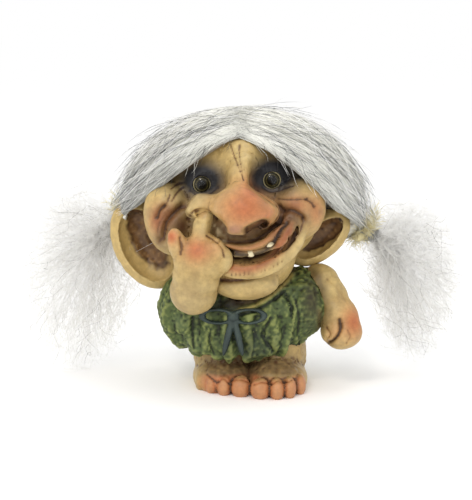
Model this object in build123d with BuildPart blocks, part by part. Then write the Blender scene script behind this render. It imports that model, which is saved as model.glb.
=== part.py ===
"""Folk troll figure, about 79 mm tall: a painted cast head, dress, arms, ears and legs on a wooden
neck dowel, with glass eyes, set teeth, a bow, and parted hair tied into two loose pigtails.

Frame: millimetres, +Z up, the figure faces -Y and its left hand is on +X.
The origin lies on the floor, midway between the feet.
"""

import os
from math import cos, radians, sin

from build123d import *

# Sides of the figure, as signs of X
RIGHT = -1
LEFT = 1
SIDE_NAMES = {RIGHT: "right", LEFT: "left"}

# Clearance around the ball on which a pigtail swings
SWING_GAP = 0.4

# Legs and feet: half sizes of the lumps, and where they stand
STANCE = 7.6
LEG_HALF = (8.6, 9.6, 15.0)
LEG_HEIGHT = 9.5
FOOT_HALF = (8.8, 12.5, 6.4)
FOOT_HEIGHT = 2.6
FOOT_FORWARD = {RIGHT: 2.6, LEFT: 5.2}
TOE_OUT = (-4.9, -0.3, 3.2, 6.3)
TOE_HALF_WIDTH = (2.75, 2.15, 1.95, 1.75)
TOE_BACK = {RIGHT: (0.0, 1.6, 4.0, 7.6), LEFT: (0.4, 0.0, 1.4, 5.4)}
TOE_REACH = 12.6
TOE_HALF_LENGTH = 3.6
TOE_HALF_HEIGHT = 3.2
TOE_HEIGHT = 2.2
SPIGOT_RADIUS = 7.0
SPIGOT_TOP = 22.0

# Dress: a bell with two sleeves and a ring of leaf lobes along the hem
DRESS_AT = (-3.0, -0.5, 21.0)
DRESS_HALF = (20.0, 14.5, 12.0)
SLEEVE_HALF = {RIGHT: (8.5, 11.0, 10.5), LEFT: (8.2, 10.5, 10.0)}
SLEEVE_OUT = {RIGHT: 14.8, LEFT: 17.0}
SLEEVE_UP = {RIGHT: 0.5, LEFT: 2.5}
HEM_LOBES = 14
HEM_INSET = 3.2
HEM_DROP = 7.4
HEM_RISE = 3.2
LOBE_HALF = (4.4, 3.6, 5.2)

# Wooden dowel that joins the head to the body
DOWEL_RADIUS = 3.5
DOWEL_LENGTH = 24.0
DOWEL_IN_HEAD = 11.0

# Head: skull, mid face, jaw and chin
HEAD_AT = (-4.0, 4.0, 53.0)
SKULL_RISE = 3.5
SKULL_BACK = 2.0
SKULL_HALF = (22.0, 20.0, 19.5)
FACE_DROP = 6.0
FACE_FORWARD = 5.0
FACE_HALF = (23.0, 15.0, 14.0)
JAW_DROP = 15.3
JAW_FORWARD = 9.0
JAW_OFF = 1.0
JAW_HALF = (15.8, 13.0, 12.0)
CHIN_DROP = 21.4
CHIN_HALF = (9.5, 5.5, 5.0)
CHIN_SINK = 5.0
CHIN_OFF = 2.5
BROW_RISE = 9.5
BROW_HALF = (6.5, 5.0, 8.5)
BROW_SINK = 4.2
BROW_OFF = 1.6

# Cheeks, raised by the grin
CHEEK_HALF = {RIGHT: (7.2, 7.5, 10.5), LEFT: (7.8, 7.2, 9.0)}
CHEEK_OUT = {RIGHT: 18.4, LEFT: 17.0}
CHEEK_UP = {RIGHT: -4.5, LEFT: -1.8}
CHEEK_SINK = {RIGHT: 8.0, LEFT: 6.8}
CHEEK_TILT = {RIGHT: -12.0, LEFT: 18.0}

# Nose: bridge, ball, hanging tip and two wings, set off to the figure's left of the head's middle
NOSE_OFF = 2.6
BRIDGE_HALF = (5.0, 5.5, 8.5)
BRIDGE_RISE = 6.5
BRIDGE_OUT = 0.5
BRIDGE_LEAN = -18.0
BALL_HALF = (9.4, 8.4, 6.9)
BALL_RISE = 0.0
BALL_OUT = 6.4
TIP_HALF = (5.0, 4.6, 4.1)
TIP_DROP = 2.4
TIP_OUT = 9.4
TIP_OFF = -3.2
WING_HALF = {RIGHT: (6.0, 4.8, 3.5), LEFT: (4.3, 5.0, 4.6)}
WING_OFF = {RIGHT: -11.6, LEFT: 6.0}
WING_UP = {RIGHT: 0.6, LEFT: -1.4}
WING_OUT = {RIGHT: 2.6, LEFT: 4.0}
NOSTRIL_HALF = (3.4, 3.6, 2.8)
NOSTRIL_OFF = 4.2
NOSTRIL_DROP = 4.8
NOSTRIL_OUT = 6.6

# Lips and mouth: each an arc from the hand side, through its middle, up to the cheek
LIP_RADIUS = {"upper": 1.7, "lower": 2.1}
LIP_START = {"upper": (-4.4, 2.6, -11.2), "lower": (-3.4, 2.8, -16.4)}
LIP_MIDDLE = {"upper": (6.2, 4.4, -10.9), "lower": (7.4, 4.2, -16.6)}
LIP_END = {"upper": (15.8, -2.2, -3.4), "lower": (17.4, -2.4, -6.6)}
MOUTH_RADIUS = 1.45

# Teeth that hang from the upper lip
TOOTH_HALF = {RIGHT: (0.95, 0.8, 1.2), LEFT: (1.15, 0.9, 1.4)}
TOOTH_AT = {RIGHT: (3.9, 3.6, -12.3), LEFT: (9.2, 2.8, -10.3)}

# Eyes: a glass dome over a painted disc, in a socket
EYE_OUT = {RIGHT: 9.4, LEFT: 9.9}
EYE_RISE = {RIGHT: 5.4, LEFT: 6.6}
EYE_RADIUS = 2.7
IRIS_THICKNESS = 0.6
DOME_HEIGHT = 1.9
EYE_BACK = 13.2
SOCKET_HALF = (5.8, 4.4, 4.8)
SOCKET_OUT = 18.6

# Ears: cupped, on the sides of the head
EAR_HALF = {RIGHT: (9.6, 4.6, 14.0), LEFT: (6.4, 4.6, 10.6)}
EAR_OUT = {RIGHT: 25.6, LEFT: 23.6}
EAR_FORWARD = {RIGHT: 0.0, LEFT: 3.0}
EAR_UP = {RIGHT: -13.4, LEFT: -11.0}
EAR_TILT = {RIGHT: -27.0, LEFT: 50.0}
EAR_RIM = 2.7
EAR_CUP_FORWARD = 3.4

# Raised right arm, from the sleeve to the finger in the nostril
ELBOW_AT = (-12.6, -16.4, 8.8)
ELBOW_HALF = (6.6, 6.4, 6.6)
UPPER_ARM_HALF = (6.0, 9.0, 6.2)
UPPER_ARM_BACK = 7.0
FOREARM_HALF = (6.5, 5.2, 7.0)
FOREARM_FROM_ELBOW = (0.8, -2.4, 4.6)
PALM_HALF = (7.8, 4.6, 6.2)
PALM_FROM_ELBOW = (2.4, -4.0, 9.4)
THUMB_HALF = (2.7, 2.7, 5.0)
THUMB_FROM_ELBOW = (-4.0, -4.4, 13.2)
THUMB_TILT = -16.0
FINGER_HALF = (2.8, 2.8, 7.6)
FINGER_FROM_ELBOW = (3.2, -3.4, 16.2)
FINGER_TILT = 10.0
FINGER_LEAN = -14.0
KNUCKLE_HALF = (2.4, 3.0, 3.6)
KNUCKLE_FROM_ELBOW = ((6.4, -5.2, 11.8), (8.4, -4.8, 9.4))

# Left arm, hanging with a fist
SHOULDER_HALF = (5.6, 6.4, 6.0)
SHOULDER_FROM_SLEEVE = (6.0, 0.0, 5.2)
FIST_DROP = 12.6
FIST_OUT = 6.0
FIST_FORWARD = 5.0
UPPER_HALF = (5.2, 5.8, 9.0)
LOWER_HALF = (5.6, 6.0, 8.0)
FIST_HALF = (6.0, 6.0, 5.2)
ARM_TILT = -20.0
ARM_BULGE = 1.0
UPPER_SHARE = 0.35
LOWER_SHARE = 0.75

# Bow on the dress
BOW_AT = (-1.8, 1.3)
BOW_CORD_RADIUS = 0.95
BOW_LOOP = (4.3, 1.9)
BOW_TURN = 9.0
BOW_TAIL_HALF = 5.6
BOW_TAIL_SPREAD = 2.9
BOW_TAIL_TILT = 13.0
BOW_LOOP_SINK = 0.6
BOW_TAIL_LIFT = 0.4
BOW_KNOT_HALF = (1.7, 1.5, 1.6)

# Hair: skin backing, parted cap, tied locks and fanned pigtails
SKIN_THICKNESS = 0.8
HAIR_HALF = (35.0, 26.0, 29.0)
HAIR_SHIFT = (2.0, 3.0, -3.2)
PART_X = 1.2
HAIRLINE_APEX = 19.0
HAIRLINE_BULGE = {RIGHT: (-13.6, 9.8), LEFT: (14.4, 10.4)}
HAIRLINE_END = {RIGHT: (-28.5, -1.8), LEFT: (27.5, -3.4)}
HAIR_FRONT = 0.0
HAIR_BOTTOM = -9.5
NAPE_SLOPE = 24.0
TIE_OUT = {RIGHT: 34.8, LEFT: 40.0}
TIE_BACK = {RIGHT: 10.0, LEFT: 6.5}
TIE_DROP = {RIGHT: 8.4, LEFT: 11.6}
LOCK_HALF = (8.2, 4.0, 3.8)
LOCK_LENGTH = 6.6
LOCK_SLOPE = 32.0
TIE_RING_RADIUS = 3.0
TIE_CORD_RADIUS = 1.15
TIE_SETBACK = 3.4
TIE_KNOT_RADIUS = 1.5
PIGTAIL_BALL = 2.4
NECK_RADIUS = 8.0
NECK_LENGTH = 13.0
NECK_TILT = 50.0
NECK_FLATNESS = 0.62
FAN_HALF = {RIGHT: (15.0, 9.5, 24.5), LEFT: (14.5, 9.0, 21.0)}
FAN_OUT = {RIGHT: 13.0, LEFT: 14.0}
FAN_DROP = {RIGHT: 17.0, LEFT: 13.0}

BIG = 200.0

# A ball of radius 1, its skin in a front and a back half so that neither closes on itself
with BuildPart() as half_ball:
    Sphere(1)
    split(bisect_by=Plane.XZ, keep=Keep.TOP)
front_skin = half_ball.faces().filter_by(GeomType.SPHERE)[0]
back_skin = mirror(front_skin, about=Plane.XZ)
UNIT_BALL = Solid(Shell([front_skin, back_skin]))


def lump(half_sizes, at, turn=(0, 0, 0)):
    """An ellipsoid of the given half sizes, at a point and turned about X, Y and Z in degrees."""
    return scale(UNIT_BALL, by=half_sizes, mode=Mode.PRIVATE).moved(Location(at, turn))


def shifted(origin, *offsets):
    """A point, moved by each offset in turn."""
    return tuple(origin[i] + sum(offset[i] for offset in offsets) for i in range(3))


def finish_piece(builder, name):
    """Labels a finished piece and writes it to its own file."""
    builder.part.label = name
    export_step(builder.part, f"parts/{name}.step")


os.makedirs("parts", exist_ok=True)

# Neck dowel, upright under the head
dowel_top = HEAD_AT[2] - JAW_DROP - JAW_HALF[2] + DOWEL_IN_HEAD
dowel_at = (HEAD_AT[0], HEAD_AT[1] - JAW_FORWARD + JAW_HALF[1] / 2)
with BuildPart() as neck_dowel:
    with BuildSketch(Plane.XY.offset(dowel_top - DOWEL_LENGTH)):
        with Locations(dowel_at):
            Circle(DOWEL_RADIUS)
    extrude(amount=DOWEL_LENGTH)

# Legs: one casting with both feet, flat soles, four toes a foot and a spigot for the dress
with BuildPart() as legs:
    with BuildSketch(Plane.XY.offset(LEG_HEIGHT)):
        Circle(SPIGOT_RADIUS)
    extrude(amount=SPIGOT_TOP - LEG_HEIGHT)
    for side in (RIGHT, LEFT):
        foot_y = -FOOT_FORWARD[side]
        add(lump(LEG_HALF, (side * STANCE, 0, LEG_HEIGHT)))
        add(lump(FOOT_HALF, (side * STANCE, foot_y, FOOT_HEIGHT)))
        for out, half_width, back in zip(TOE_OUT, TOE_HALF_WIDTH, TOE_BACK[side]):
            toe_half = (half_width, TOE_HALF_LENGTH, TOE_HALF_HEIGHT)
            toe_y = foot_y - TOE_REACH + back
            add(lump(toe_half, (side * (STANCE + out), toe_y, TOE_HEIGHT)))
    split(bisect_by=Plane.XY, keep=Keep.TOP)
    add(neck_dowel.part, mode=Mode.SUBTRACT)

# Raised right arm: elbow, forearm, palm, thumb, pointing finger and two folded knuckles
elbow = shifted(DRESS_AT, ELBOW_AT)
with BuildPart() as right_arm:
    add(lump(ELBOW_HALF, elbow))
    add(lump(UPPER_ARM_HALF, shifted(elbow, (0, UPPER_ARM_BACK, 0))))
    add(lump(FOREARM_HALF, shifted(elbow, FOREARM_FROM_ELBOW)))
    add(lump(PALM_HALF, shifted(elbow, PALM_FROM_ELBOW)))
    add(lump(THUMB_HALF, shifted(elbow, THUMB_FROM_ELBOW), (0, THUMB_TILT, 0)))
    add(lump(FINGER_HALF, shifted(elbow, FINGER_FROM_ELBOW), (FINGER_LEAN, FINGER_TILT, 0)))
    for offset in KNUCKLE_FROM_ELBOW:
        add(lump(KNUCKLE_HALF, shifted(elbow, offset)))

# Centres of the head's main lumps
skull_at = shifted(HEAD_AT, (0, SKULL_BACK, SKULL_RISE))
face_at = shifted(HEAD_AT, (0, -FACE_FORWARD, -FACE_DROP))
jaw_at = shifted(HEAD_AT, (JAW_OFF, -JAW_FORWARD, -JAW_DROP))
face_front = face_at[1] - FACE_HALF[1]
nose_at = (HEAD_AT[0] + NOSE_OFF, face_front, HEAD_AT[2])

# Eyes: a painted disc at the bottom of each socket, with a glass dome on it
irises = {}
domes = {}
for side in (RIGHT, LEFT):
    eye_at = shifted(HEAD_AT, (side * EYE_OUT[side], -EYE_BACK, EYE_RISE[side]))
    iris_plane = Plane(eye_at, z_dir=(0, -1, 0))
    with BuildPart() as iris:
        with BuildSketch(iris_plane):
            Circle(EYE_RADIUS)
        extrude(amount=IRIS_THICKNESS)
    dome_ball = (EYE_RADIUS**2 + DOME_HEIGHT**2) / (2 * DOME_HEIGHT)
    dome_base = iris_plane.offset(IRIS_THICKNESS)
    with BuildPart(dome_base.offset(DOME_HEIGHT - dome_ball)) as dome:
        Sphere(dome_ball)
        split(bisect_by=dome_base, keep=Keep.TOP)
    irises[side] = iris
    domes[side] = dome


def lip_points(which):
    """The start, middle and end of a lip's arc, from its places beside the head's middle."""
    ends = []
    for x, forward, up in (LIP_START[which], LIP_MIDDLE[which], LIP_END[which]):
        ends.append((HEAD_AT[0] + x, face_front - forward, HEAD_AT[2] + up))
    return ends


def mouth_points():
    """The arc midway between the lips."""
    pairs = zip(lip_points("upper"), lip_points("lower"))
    return [tuple((a + b) / 2 for a, b in zip(upper, lower)) for upper, lower in pairs]


def lip_tube(points, radius):
    """A round tube along the arc through three points, with ball ends."""
    with BuildPart(mode=Mode.PRIVATE) as tube:
        with BuildLine() as path:
            ThreePointArc(*points)
        with BuildSketch(path.line ^ 0):
            Circle(radius)
        sweep(path=path.line)
        with Locations(points[0], points[2]):
            Sphere(radius)
    return tube.part


upper_lip = lip_tube(lip_points("upper"), LIP_RADIUS["upper"])
lower_lip = lip_tube(lip_points("lower"), LIP_RADIUS["lower"])
mouth_groove = lip_tube(mouth_points(), MOUTH_RADIUS)

# Teeth: two pegs under the upper lip
teeth = {}
for side in (RIGHT, LEFT):
    x, forward, up = TOOTH_AT[side]
    with BuildPart() as tooth:
        add(lump(TOOTH_HALF[side], (HEAD_AT[0] + x, face_front - forward, HEAD_AT[2] + up)))
    teeth[side] = tooth

# Head: skull, face, jaw, chin, brow, cheeks, nose and lips, then the sockets, mouth and nostril
with BuildPart() as head:
    add(lump(SKULL_HALF, skull_at))
    add(lump(FACE_HALF, face_at))
    add(lump(JAW_HALF, jaw_at))
    chin_y = jaw_at[1] - JAW_HALF[1] + CHIN_SINK
    add(lump(CHIN_HALF, (HEAD_AT[0] + CHIN_OFF, chin_y, HEAD_AT[2] - CHIN_DROP)))
    brow_y = skull_at[1] - SKULL_HALF[1] + BROW_SINK
    add(lump(BROW_HALF, (HEAD_AT[0] + BROW_OFF, brow_y, HEAD_AT[2] + BROW_RISE)))
    add(lump(BRIDGE_HALF, shifted(nose_at, (0, -BRIDGE_OUT, BRIDGE_RISE)), (BRIDGE_LEAN, 0, 0)))
    add(lump(BALL_HALF, shifted(nose_at, (0, -BALL_OUT, BALL_RISE))))
    add(lump(TIP_HALF, shifted(nose_at, (TIP_OFF, -TIP_OUT, -TIP_DROP))))
    for side in (RIGHT, LEFT):
        cheek_at = shifted(HEAD_AT, (side * CHEEK_OUT[side], 0, CHEEK_UP[side]))
        cheek_at = (cheek_at[0], face_front + CHEEK_SINK[side], cheek_at[2])
        add(lump(CHEEK_HALF[side], cheek_at, (0, CHEEK_TILT[side], 0)))
        wing_at = shifted(nose_at, (WING_OFF[side], -WING_OUT[side], WING_UP[side]))
        add(lump(WING_HALF[side], wing_at))
    add(upper_lip)
    add(lower_lip)
    add(mouth_groove, mode=Mode.SUBTRACT)
    nostril_at = shifted(nose_at, (NOSTRIL_OFF, -NOSTRIL_OUT, -NOSTRIL_DROP))
    add(lump(NOSTRIL_HALF, nostril_at), mode=Mode.SUBTRACT)
    for side in (RIGHT, LEFT):
        socket_at = shifted(HEAD_AT, (side * EYE_OUT[side], -SOCKET_OUT, EYE_RISE[side]))
        add(lump(SOCKET_HALF, socket_at), mode=Mode.SUBTRACT)
        add(irises[side].part, mode=Mode.SUBTRACT)
        add(domes[side].part, mode=Mode.SUBTRACT)
        add(teeth[side].part, mode=Mode.SUBTRACT)
    add(neck_dowel.part, mode=Mode.SUBTRACT)
    add(right_arm.part, mode=Mode.SUBTRACT)

# Ears: flat cups beside the cheeks, trimmed to the head
ears = {}
for side in (RIGHT, LEFT):
    ear_at = shifted(HEAD_AT, (side * EAR_OUT[side], -EAR_FORWARD[side], EAR_UP[side]))
    ear_turn = (0, EAR_TILT[side], 0)
    wide, deep, tall = EAR_HALF[side]
    cup_half = (wide - EAR_RIM, deep, tall - EAR_RIM)
    with BuildPart() as ear:
        add(lump(EAR_HALF[side], ear_at, ear_turn))
        add(lump(cup_half, shifted(ear_at, (0, -EAR_CUP_FORWARD, 0)), ear_turn), mode=Mode.SUBTRACT)
        add(head.part, mode=Mode.SUBTRACT)
    ears[side] = ear

# Dress: bell, sleeves and hem lobes, hollowed for the legs, the arm, the dowel and the head
with BuildPart() as dress:
    add(lump(DRESS_HALF, DRESS_AT))
    for side in (RIGHT, LEFT):
        sleeve_at = shifted(DRESS_AT, (side * SLEEVE_OUT[side], 0, SLEEVE_UP[side]))
        add(lump(SLEEVE_HALF[side], sleeve_at))
    for index in range(HEM_LOBES):
        angle = 360 * index / HEM_LOBES
        lobe_x = (DRESS_HALF[0] - HEM_INSET) * cos(radians(angle))
        lobe_y = (DRESS_HALF[1] - HEM_INSET) * sin(radians(angle))
        lobe_z = HEM_RISE * cos(radians(angle)) ** 2 - HEM_DROP
        lobe_at = shifted(DRESS_AT, (lobe_x, lobe_y, lobe_z))
        add(lump(LOBE_HALF, lobe_at, (0, 0, angle + 90)))
    add(legs.part, mode=Mode.SUBTRACT)
    add(right_arm.part, mode=Mode.SUBTRACT)
    add(neck_dowel.part, mode=Mode.SUBTRACT)
    add(head.part, mode=Mode.SUBTRACT)
    for side in (RIGHT, LEFT):
        add(ears[side].part, mode=Mode.SUBTRACT)

# Hanging left arm: shoulder, upper and lower arm and a fist, trimmed to the dress and the ear
shoulder = shifted(DRESS_AT, (SLEEVE_OUT[LEFT], 0, SLEEVE_UP[LEFT]), SHOULDER_FROM_SLEEVE)
fist = shifted(shoulder, (FIST_OUT, -FIST_FORWARD, -FIST_DROP))
with BuildPart() as left_arm:
    add(lump(SHOULDER_HALF, shoulder))
    for share, half in ((UPPER_SHARE, UPPER_HALF), (LOWER_SHARE, LOWER_HALF)):
        along = tuple(a + share * (b - a) for a, b in zip(shoulder, fist))
        add(lump(half, shifted(along, (ARM_BULGE, 0, 0)), (0, ARM_TILT, 0)))
    add(lump(FIST_HALF, fist))
    add(dress.part, mode=Mode.SUBTRACT)
    add(ears[LEFT].part, mode=Mode.SUBTRACT)

# Bow: two cord loops, two tails and a knot, laid on the dress and trimmed to it
bow_at = (
    DRESS_AT[0] + BOW_AT[0],
    DRESS_AT[1] - DRESS_HALF[1] - BOW_CORD_RADIUS / 2,
    DRESS_AT[2] + BOW_AT[1],
)
loop_ring = Torus(BOW_LOOP[0], BOW_CORD_RADIUS, rotation=(90, 0, 0))
loop_shape = scale(loop_ring, by=(1, 1, BOW_LOOP[1] / BOW_LOOP[0]))
with BuildPart() as bow:
    for side in (RIGHT, LEFT):
        loop_at = shifted(bow_at, (side * BOW_LOOP[0], BOW_LOOP_SINK, 0))
        add(loop_shape.moved(Location(loop_at, (0, 0, side * BOW_TURN))))
        tail_half = (BOW_CORD_RADIUS, BOW_CORD_RADIUS, BOW_TAIL_HALF)
        tail_at = shifted(bow_at, (side * BOW_TAIL_SPREAD / 2, -BOW_TAIL_LIFT, -BOW_TAIL_HALF))
        add(lump(tail_half, tail_at, (0, -side * BOW_TAIL_TILT, 0)))
    add(lump(BOW_KNOT_HALF, bow_at))
    add(dress.part, mode=Mode.SUBTRACT)

# Face opening of the hair, as an outline seen from the front and carried back to the ears
opening_plane = Plane((HEAD_AT[0], HEAD_AT[1] + HAIR_FRONT, HEAD_AT[2]), x_dir=(1, 0, 0), z_dir=(0, -1, 0))
apex = (PART_X, HAIRLINE_APEX)
with BuildPart() as face_opening:
    with BuildSketch(opening_plane):
        with BuildLine():
            ThreePointArc(apex, HAIRLINE_BULGE[RIGHT], HAIRLINE_END[RIGHT])
            Line(HAIRLINE_END[RIGHT], (-BIG, -BIG))
            Line((-BIG, -BIG), (BIG, -BIG))
            Line((BIG, -BIG), HAIRLINE_END[LEFT])
            ThreePointArc(HAIRLINE_END[LEFT], HAIRLINE_BULGE[LEFT], apex)
        make_face()
    extrude(amount=BIG)

# Lower edge of the hair, sloping down to the nape
hair_floor = Plane(
    shifted(HEAD_AT, (0, HAIR_FRONT, HAIR_BOTTOM)),
    x_dir=(1, 0, 0),
    z_dir=(0, sin(radians(NAPE_SLOPE)), cos(radians(NAPE_SLOPE))),
)

# Skin that the hair grows on, glued over the skull
with BuildPart() as scalp_skin:
    add(lump(tuple(size + SKIN_THICKNESS for size in SKULL_HALF), skull_at))
    add(head.part, mode=Mode.SUBTRACT)
    add(face_opening.part, mode=Mode.SUBTRACT)
    for side in (RIGHT, LEFT):
        add(ears[side].part, mode=Mode.SUBTRACT)
    split(bisect_by=hair_floor, keep=Keep.TOP)

# Hair ties, hair caps and pigtails on each side of the parting
hair_at = shifted(HEAD_AT, HAIR_SHIFT)
part_plane = Plane((HEAD_AT[0] + PART_X, 0, 0), z_dir=(1, 0, 0))
ties = {}
hairs = {}
pigtails = {}
for side in (RIGHT, LEFT):
    pivot = shifted(HEAD_AT, (side * TIE_OUT[side], TIE_BACK[side], -TIE_DROP[side]))
    slope = radians(LOCK_SLOPE)
    inward = (-side * cos(slope), 0, sin(slope))
    ring_at = tuple(p + TIE_SETBACK * d for p, d in zip(pivot, inward))
    lock_at = tuple(p + LOCK_LENGTH * d for p, d in zip(pivot, inward))
    lock_tip = tuple(p + (PIGTAIL_BALL + SWING_GAP) * d for p, d in zip(pivot, inward))
    lock_end = Plane(lock_tip, z_dir=inward)
    with BuildPart() as tie:
        with BuildPart(Plane(ring_at, z_dir=inward), mode=Mode.PRIVATE) as ring:
            Torus(TIE_RING_RADIUS, TIE_CORD_RADIUS)
        add(ring.part)
        with Locations(shifted(ring_at, (0, -TIE_RING_RADIUS, TIE_CORD_RADIUS))):
            Sphere(TIE_KNOT_RADIUS)
    with BuildPart() as hair:
        add(lump(HAIR_HALF, hair_at))
        split(bisect_by=part_plane, keep=Keep.TOP if side == LEFT else Keep.BOTTOM)
        add(face_opening.part, mode=Mode.SUBTRACT)
        split(bisect_by=hair_floor, keep=Keep.TOP)
        add(lump(LOCK_HALF, lock_at, (0, side * LOCK_SLOPE, 0)))
        split(bisect_by=lock_end, keep=Keep.TOP)
        add(head.part, mode=Mode.SUBTRACT)
        add(scalp_skin.part, mode=Mode.SUBTRACT)
        for ear in ears.values():
            add(ear.part, mode=Mode.SUBTRACT)
        add(tie.part, mode=Mode.SUBTRACT)
        add(hair.solids().sort_by(SortBy.VOLUME)[-1], mode=Mode.REPLACE)
    ties[side] = tie
    hairs[side] = hair

    # A pigtail leaves its tie as a drop, from a small ball at the tie, and opens into a wide fan
    lean = (NECK_RADIUS - PIGTAIL_BALL) / NECK_LENGTH
    run = (1 - lean**2) ** 0.5
    near = (PIGTAIL_BALL * run, PIGTAIL_BALL * lean)
    far = (NECK_RADIUS * run, -NECK_LENGTH + NECK_RADIUS * lean)
    neck_end = (0, -NECK_LENGTH - NECK_RADIUS)
    with BuildPart() as drop:
        with BuildSketch(Plane.XZ):
            with BuildLine():
                RadiusArc((0, PIGTAIL_BALL), near, PIGTAIL_BALL)
                Line(near, far)
                RadiusArc(far, neck_end, NECK_RADIUS)
                Line(neck_end, (0, PIGTAIL_BALL))
            make_face()
        revolve(axis=Axis.Z)
    flat_drop = scale(drop.part, by=(1, NECK_FLATNESS, 1), about=(0, 0, 0))
    with BuildPart() as pigtail:
        add(flat_drop.moved(Location(pivot, (0, -side * NECK_TILT, 0))))
        add(lump(FAN_HALF[side], shifted(pivot, (side * FAN_OUT[side], 0, -FAN_DROP[side]))))
    pigtails[side] = pigtail

finish_piece(legs, "legs")
finish_piece(dress, "dress")
finish_piece(neck_dowel, "neck_dowel")
finish_piece(head, "head")
finish_piece(right_arm, "right_arm")
finish_piece(left_arm, "left_arm")
finish_piece(bow, "bow")
finish_piece(scalp_skin, "scalp_skin")
for side, name in SIDE_NAMES.items():
    finish_piece(ears[side], f"{name}_ear")
    finish_piece(teeth[side], f"{name}_tooth")
    finish_piece(irises[side], f"{name}_iris")
    finish_piece(domes[side], f"{name}_eye_glass")
    finish_piece(hairs[side], f"{name}_hair")
    finish_piece(ties[side], f"{name}_hair_tie")
    finish_piece(pigtails[side], f"{name}_pigtail")
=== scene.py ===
"""Looks of a folk troll figure: painted castings, glass eyes, a cord bow and parted wool hair.

Sizes are in millimetres until they go into a mesh, which is in metres in the figure's own frame:
+Z up, the figure faces -Y, its left hand is on +X, and it stands on Z = 0.
"""

import math
from itertools import product

import bpy
import numpy as np
from bpy.props import FloatProperty, FloatVectorProperty, IntProperty, PointerProperty
from bpy.types import Operator, Panel, PropertyGroup
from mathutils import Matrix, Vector


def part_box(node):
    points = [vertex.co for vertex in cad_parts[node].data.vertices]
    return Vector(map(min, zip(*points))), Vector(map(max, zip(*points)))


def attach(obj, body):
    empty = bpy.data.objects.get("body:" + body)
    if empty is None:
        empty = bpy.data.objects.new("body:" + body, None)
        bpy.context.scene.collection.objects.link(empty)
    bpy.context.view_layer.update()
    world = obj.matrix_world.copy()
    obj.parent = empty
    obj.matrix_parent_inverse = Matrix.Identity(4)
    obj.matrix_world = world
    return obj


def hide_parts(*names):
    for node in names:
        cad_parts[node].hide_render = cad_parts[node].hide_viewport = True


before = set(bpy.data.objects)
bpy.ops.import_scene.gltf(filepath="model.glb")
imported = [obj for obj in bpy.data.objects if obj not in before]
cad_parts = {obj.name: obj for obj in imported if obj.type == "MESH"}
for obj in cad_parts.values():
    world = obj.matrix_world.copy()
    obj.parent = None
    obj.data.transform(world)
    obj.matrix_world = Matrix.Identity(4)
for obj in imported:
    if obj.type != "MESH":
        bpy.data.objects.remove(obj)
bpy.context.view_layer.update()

bl_info = {
    "name": "Folk troll figure",
    "version": (1, 0, 0),
    "blender": (4, 5, 0),
    "location": "3D View > Sidebar > Troll",
    "description": "Models the looks of a painted folk troll with wool hair",
    "category": "Object",
}

MM = 0.001
FIGURE = "figure"
SIDES = {"right": -1, "left": 1}

# The front view: where the figure is looked at from, and the middle of what is seen
VIEW_TARGET = np.array((-4.0, 0.0, 38.5))
VIEW_DISTANCE = 380.0
VIEW_HEIGHT = math.radians(9.0)
VIEW_BACK = np.array((0, -math.cos(VIEW_HEIGHT), math.sin(VIEW_HEIGHT)))
VIEW_UP = np.array((0, math.sin(VIEW_HEIGHT), math.cos(VIEW_HEIGHT)))

# Sheets that the strokes are drawn on in the front view: left, top and the size of a square
FACE_SHEET = (-33.14, 28.57, 0.0401)
BODY_SHEET = (-21.71, -1.43, 0.0383)


def linear(code):
    """An sRGB hex colour as linear red, green and blue."""
    channels = [int(code[i : i + 2], 16) / 255 for i in (1, 3, 5)]
    return tuple(c / 12.92 if c <= 0.04045 else ((c + 0.055) / 1.055) ** 2.4 for c in channels)


def colour_setting(name, code, words):
    """A colour that a user can change."""
    return FloatVectorProperty(
        name=name, description=words, subtype="COLOR", size=3, min=0, max=1, default=linear(code)
    )


def length_setting(name, size, low, high, words):
    """A length in millimetres that a user can change."""
    return FloatProperty(
        name=name, description=words, default=size * MM, min=low * MM, max=high * MM,
        unit="LENGTH", precision=5,
    )


def count_setting(name, count, words):
    """A number of hairs that a user can change."""
    return IntProperty(name=name, description=words, default=count, min=100, max=2600)


class TrollSizes(PropertyGroup):
    """Sizes that a user would change."""

    skin_detail: length_setting("Casting detail", 0.385, 0.3, 2, "Spacing of the carved surface's points")
    wool_detail: length_setting("Wool base detail", 0.7, 0.3, 3, "Spacing of the points under the strands")
    strand_width: length_setting("Strand width", 0.2, 0.05, 1, "Thickness of a combed strand")
    fluff_width: length_setting("Fluff width", 0.065, 0.03, 1, "Thickness of a pigtail's loose hair")
    strands: count_setting("Combed strands", 2050, "Strands in one lock of the parted hair")
    fluff: count_setting("Loose hairs", 1800, "Hairs in one lock of a pigtail")


class TrollColours(PropertyGroup):
    """Colours that a user would change."""

    skin: colour_setting("Skin", "#B79C63", "Cream skin paint")
    peach: colour_setting("Blush", "#B1623B", "Airbrushed peach blush")
    # The brown wash colour also paints shade: round the folds, on the lower lip and where the skin turns
    # away from the front
    wash_and_shade: colour_setting("Wash", "#5C3E27", "Brown wash in the folds")
    # The deep wash colour also paints the shade in the mouth's slit and its corner crease and under the
    # ears' rims
    deep: colour_setting("Deep wash", "#2C1D16", "Darkest wash in the mouth and nostril")
    shadow: colour_setting("Eye shadow", "#2A2A2D", "Blue-black airbrush round the eyes")
    moss: colour_setting("Moss", "#4C5A2F", "Green of the dress")
    moss_high: colour_setting("Moss edges", "#8E9554", "Dry-brushed edges of the dress")
    moss_deep: colour_setting("Moss depths", "#191F11", "Dark recesses of the dress")
    bow: colour_setting("Bow", "#2B3735", "Blue-grey of the bow")
    wool: colour_setting("Wool", "#FAFAF0", "Silver-grey wool")
    fluff: colour_setting("Fluff", "#FFFEFA", "Off-white loose wool")
    yarn: colour_setting("Yarn", "#EDE3B4", "Cream yarn of the ties")
    tooth: colour_setting("Teeth", "#E8DDB8", "Ivory teeth")
    gold: colour_setting("Eye ring", "#EADCA8", "Thin gold ring of the eyes")


def sizes():
    return bpy.context.scene.troll_sizes


def colour(name):
    """A colour setting by its name, or an sRGB hex colour, as linear red, green and blue."""
    if name.startswith("#"):
        return np.array(linear(name))
    return np.array(getattr(bpy.context.scene.troll_colours, name))


# Reading and writing meshes


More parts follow.
